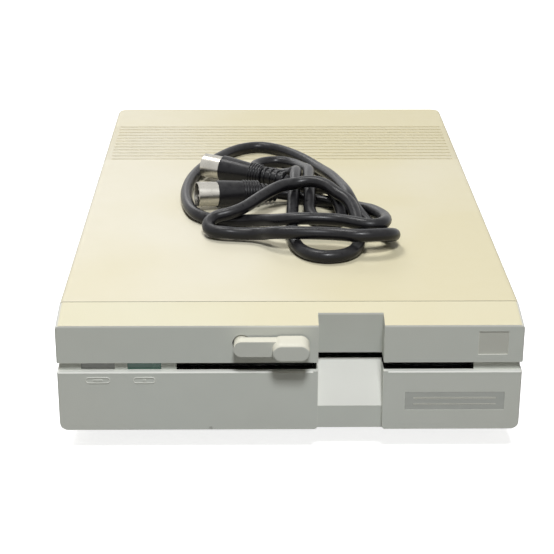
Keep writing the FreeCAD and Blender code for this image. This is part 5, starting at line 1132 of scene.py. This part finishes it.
# %% [markdown]
# ## Small marks on the front
# Under the two lamps the mould leaves a mark in low relief: an outline with round ends, with
# a bar in it for power and a dot, like the hub of a disk, for activity. Each is a prism whose
# front is a little smaller than its foot, as a mould needs to let go. The same functions make
# the rules on the name plate and the marks of the mains switch.

# %% Outlines and marks, in millimetres
MARK_DRAFT = 0.06


def capsule(centre_x, centre_z, width, height, steps=10):
    """The outline of a bar with round ends."""
    radius = height / 2
    outline = []
    for side, start in ((1, -90), (-1, 90)):
        end_x = centre_x + side * (width / 2 - radius)
        for k in range(steps + 1):
            turn = math.radians(start + 180 * k / steps)
            outline.append((end_x + radius * math.cos(turn), centre_z + radius * math.sin(turn)))
    return outline


def round_outline(centre_x, centre_z, radius, steps=32):
    """A circle as an outline of corners."""
    turns = [2 * math.pi * k / steps for k in range(steps)]
    return [(centre_x + radius * math.cos(t), centre_z + radius * math.sin(t)) for t in turns]


def mark_loop(shape, outline, surface, size):
    """The points of an outline of (x, z), scaled about its middle and set on a surface."""
    middle_x = sum(x for x, z in outline) / len(outline)
    middle_z = sum(z for x, z in outline) / len(outline)
    places = [(middle_x + (x - middle_x) * size, middle_z + (z - middle_z) * size) for x, z in outline]
    return [shape.verts.new((x * MM, surface(x, z) * MM, z * MM)) for x, z in places]


def marks_mesh(name, marks, foot, front):
    """Marks (outer, inner or None) as one closed mesh. Foot and front give y at a place."""
    shape = bmesh.new()
    for outer, inner in marks:
        low = mark_loop(shape, outer, foot, 1.0)
        high = mark_loop(shape, outer, front, 1.0 - MARK_DRAFT)
        band(shape, low, high)
        if inner is None:
            shape.faces.new(low)
            shape.faces.new(high)
        else:
            hole_low = mark_loop(shape, inner, foot, 1.0)
            hole_high = mark_loop(shape, inner, front, 1.0 + MARK_DRAFT)
            band(shape, hole_low, hole_high)
            band(shape, low, hole_low)
            band(shape, high, hole_high)
    return close_mesh(name, shape)


def level(y):
    """A flat upright surface at y."""
    return lambda x, z: y


print("mark helpers:", capsule.__name__, round_outline.__name__, marks_mesh.__name__)

# %% Marks under the lamps
MARK_Z = SLOT_FLOOR_Z - 4.2
MARK_HEIGHT = 3.2
MARK_LINE = 0.5
MARK_SUNK = 0.1
MARK_PROUD = 0.3
power_x = middle_of("power_window")[0]
drive_x = middle_of("drive_window")[0]


def ring_mark(centre_x, width):
    """A line with round ends that runs round a mark."""
    inner = capsule(centre_x, MARK_Z, width - 2 * MARK_LINE, MARK_HEIGHT - 2 * MARK_LINE)
    return (capsule(centre_x, MARK_Z, width, MARK_HEIGHT), inner)


lamp_marks = [
    ring_mark(power_x, 11.5), (capsule(power_x, MARK_Z, 4.6, 0.9), None),
    ring_mark(drive_x, 10.5), (round_outline(drive_x, MARK_Z, 0.75), None),
]
lamp_mesh = marks_mesh("lamp_marks", lamp_marks, level(FACE_Y + MARK_SUNK), level(FACE_Y - MARK_PROUD))
add_piece("lamp_marks", lamp_mesh, "bezel_plastic")
print("marks under the lamps:", len(lamp_marks))

# %% Rules on the name plate
RULE_LENGTH = 39.0
plate_x, plate_z = middle_of("name_plate")[::2]
plate_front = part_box("name_plate")[0][1] / MM
rules = [(capsule(plate_x, plate_z + 1.4, RULE_LENGTH, 1.0), None),
         (capsule(plate_x, plate_z - 1.7, RULE_LENGTH, 0.55), None)]
rules_mesh = marks_mesh("plate_rules", rules, level(plate_front + 0.05), level(plate_front - 0.1))
add_piece("plate_rules", rules_mesh, "badge")
print("name plate:", len(rules), "plain rules")

# %% [markdown]
# ## Marks on the mains switch
# A mains switch has a bar for on and a ring for off, printed on its rocker. The rocker's two
# faces slope, so each corner of a mark is dropped onto the surface by a ray, and the marks
# ride on the rocker.

# %% Marks on the mains switch
PRINT_SUNK = 0.1
PRINT_PROUD = 0.05
MARK_FROM_MIDDLE = 4.6
RAY_START = 0.05
rocker_low, rocker_high = [corner / MM for corner in map(Vector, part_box("power_rocker"))]
rocker_x = (rocker_low.x + rocker_high.x) / 2
rocker_z = (rocker_low.z + rocker_high.z) / 2
rocker_solid = nodes["power_rocker"].data
rocker_corners = [corner.co for corner in rocker_solid.vertices]
rocker_tree = BVHTree.FromPolygons(rocker_corners, [tuple(face.vertices) for face in rocker_solid.polygons])


def rocker_surface(x, z):
    """How far back the rocker's face is at a place, in millimetres."""
    start = Vector((x * MM, rocker_high.y * MM + RAY_START, z * MM))
    return rocker_tree.ray_cast(start, Vector((0, -1, 0)))[0].y / MM


ON_Z = rocker_z + MARK_FROM_MIDDLE
OFF_Z = rocker_z - MARK_FROM_MIDDLE
bar = [(rocker_x + 0.35 * sx, ON_Z + 1.5 * sz) for sx, sz in ((-1, -1), (1, -1), (1, 1), (-1, 1))]
ring = (round_outline(rocker_x, OFF_Z, 1.5), round_outline(rocker_x, OFF_Z, 1.05))
switch_mesh = marks_mesh("switch_marks", [(bar, None), ring],
                         lambda x, z: rocker_surface(x, z) - PRINT_SUNK,
                         lambda x, z: rocker_surface(x, z) + PRINT_PROUD)
add_piece("switch_marks", switch_mesh, "white_plastic", body="power_rocker")
print("marks on the mains switch at", round(ON_Z, 1), "and", round(OFF_Z, 1), "mm")

# %% [markdown]
# ## Case screws
# Four screws with pan heads close the case from below. The solid model has only their plain
# turned form. Here one screw is made with a cross recess and a thread, and a geometry tree
# puts a copy at each corner of the pattern that the solids show.

# %% One screw, in millimetres
SCREW_HEAD_R = 3.0
SCREW_HEAD = 2.0
SCREW_R = 1.5
THREAD_PITCH = 1.0
THREAD_DEPTH = 0.3
RECESS_DEPTH = 1.5


def screw_profile(length):
    """Radii and heights of a pan-head screw that stands on its head."""
    profile = [(SCREW_HEAD_R * 0.78, 0.0), (SCREW_HEAD_R * 0.95, 0.3), (SCREW_HEAD_R, 0.9),
               (SCREW_HEAD_R, SCREW_HEAD), (SCREW_R, SCREW_HEAD)]
    height = SCREW_HEAD + THREAD_PITCH
    while height < length - 1.5:
        profile += [(SCREW_R - THREAD_DEPTH, height), (SCREW_R, height + THREAD_PITCH / 2)]
        height += THREAD_PITCH
    return profile + [(SCREW_R - THREAD_DEPTH, length - 1.2), (0.4, length)]


def cross_outline(reach, half_width):
    """A cross with four equal arms, as corners."""
    corners = ((reach, -half_width), (reach, half_width), (half_width, half_width))
    outline = []
    for cos, sin in ((1, 0), (0, 1), (-1, 0), (0, -1)):
        outline += [(x * cos - y * sin, x * sin + y * cos) for x, y in corners]
    return outline


def screw_mesh(length, steps=24):
    """A pan-head screw that stands on its head at the origin. Its cross recess opens downwards."""
    shape = bmesh.new()
    turns = [2 * math.pi * k / steps for k in range(steps)]
    rings = [[shape.verts.new((r * MM * math.cos(t), r * MM * math.sin(t), z * MM)) for t in turns]
             for r, z in screw_profile(length)]
    for first, second in zip(rings, rings[1:]):
        band(shape, first, second)
    shape.faces.new(rings[-1])
    cross = cross_outline(SCREW_HEAD_R * 0.62, SCREW_HEAD_R * 0.14)
    rim = [shape.verts.new((x * MM, y * MM, 0)) for x, y in cross]
    deep = [shape.verts.new((x * MM * 0.55, y * MM * 0.7, RECESS_DEPTH * MM)) for x, y in cross]
    band(shape, rim, deep)
    shape.faces.new(deep)
    sole_edges = [shape.edges.get((loop[k], loop[(k + 1) % len(loop)]))
                  for loop in (rings[0], rim) for k in range(len(loop))]
    bmesh.ops.triangle_fill(shape, edges=sole_edges, use_beauty=True)
    return close_mesh("screw", shape)


print("screw profile of 10 mm:", len(screw_profile(10.0)), "points")


# %% Tree: one object on every point
def copies_tree():
    """A copy of an object on every point of the mesh."""
    tree, given, result = new_tree("object_on_points", {"Object": "Object"})
    source = add_node(tree, "GeometryNodeObjectInfo", {"As Instance": True, "Object": given["Object"]})
    copies = add_node(tree, "GeometryNodeInstanceOnPoints", {
        "Points": given["Geometry"], "Instance": source.outputs["Geometry"]})
    return finish_tree(tree, given, result, copies.outputs[0])


screws_low, screws_high = map(Vector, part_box("case_screws"))
one_screw = bpy.data.objects.new("one_screw", screw_mesh((screws_high.z - screws_low.z) / MM))
bpy.context.scene.collection.objects.link(one_screw)
edge = SCREW_HEAD_R * MM
screw_columns = (screws_low.x + edge, screws_high.x - edge)
screw_rows = (screws_low.y + edge, screws_high.y - edge)
screw_points = [(x, y, screws_low.z) for x in screw_columns for y in screw_rows]
screws = run_tree(copies_tree(), "case_screw_set", screw_points,
                  {"Object": one_screw, "Material": finishes["zinc_steel"]})
bpy.data.objects.remove(one_screw)
add_piece("case_screw_set", screws, "zinc_steel", stands_for=("case_screws",))
print("case screws:", len(screw_points), "with", len(screws.polygons), "faces")

# %% [markdown]
# ## Last update
# The view layer is brought up to date.

# %% Update the view layer
bpy.context.view_layer.update()
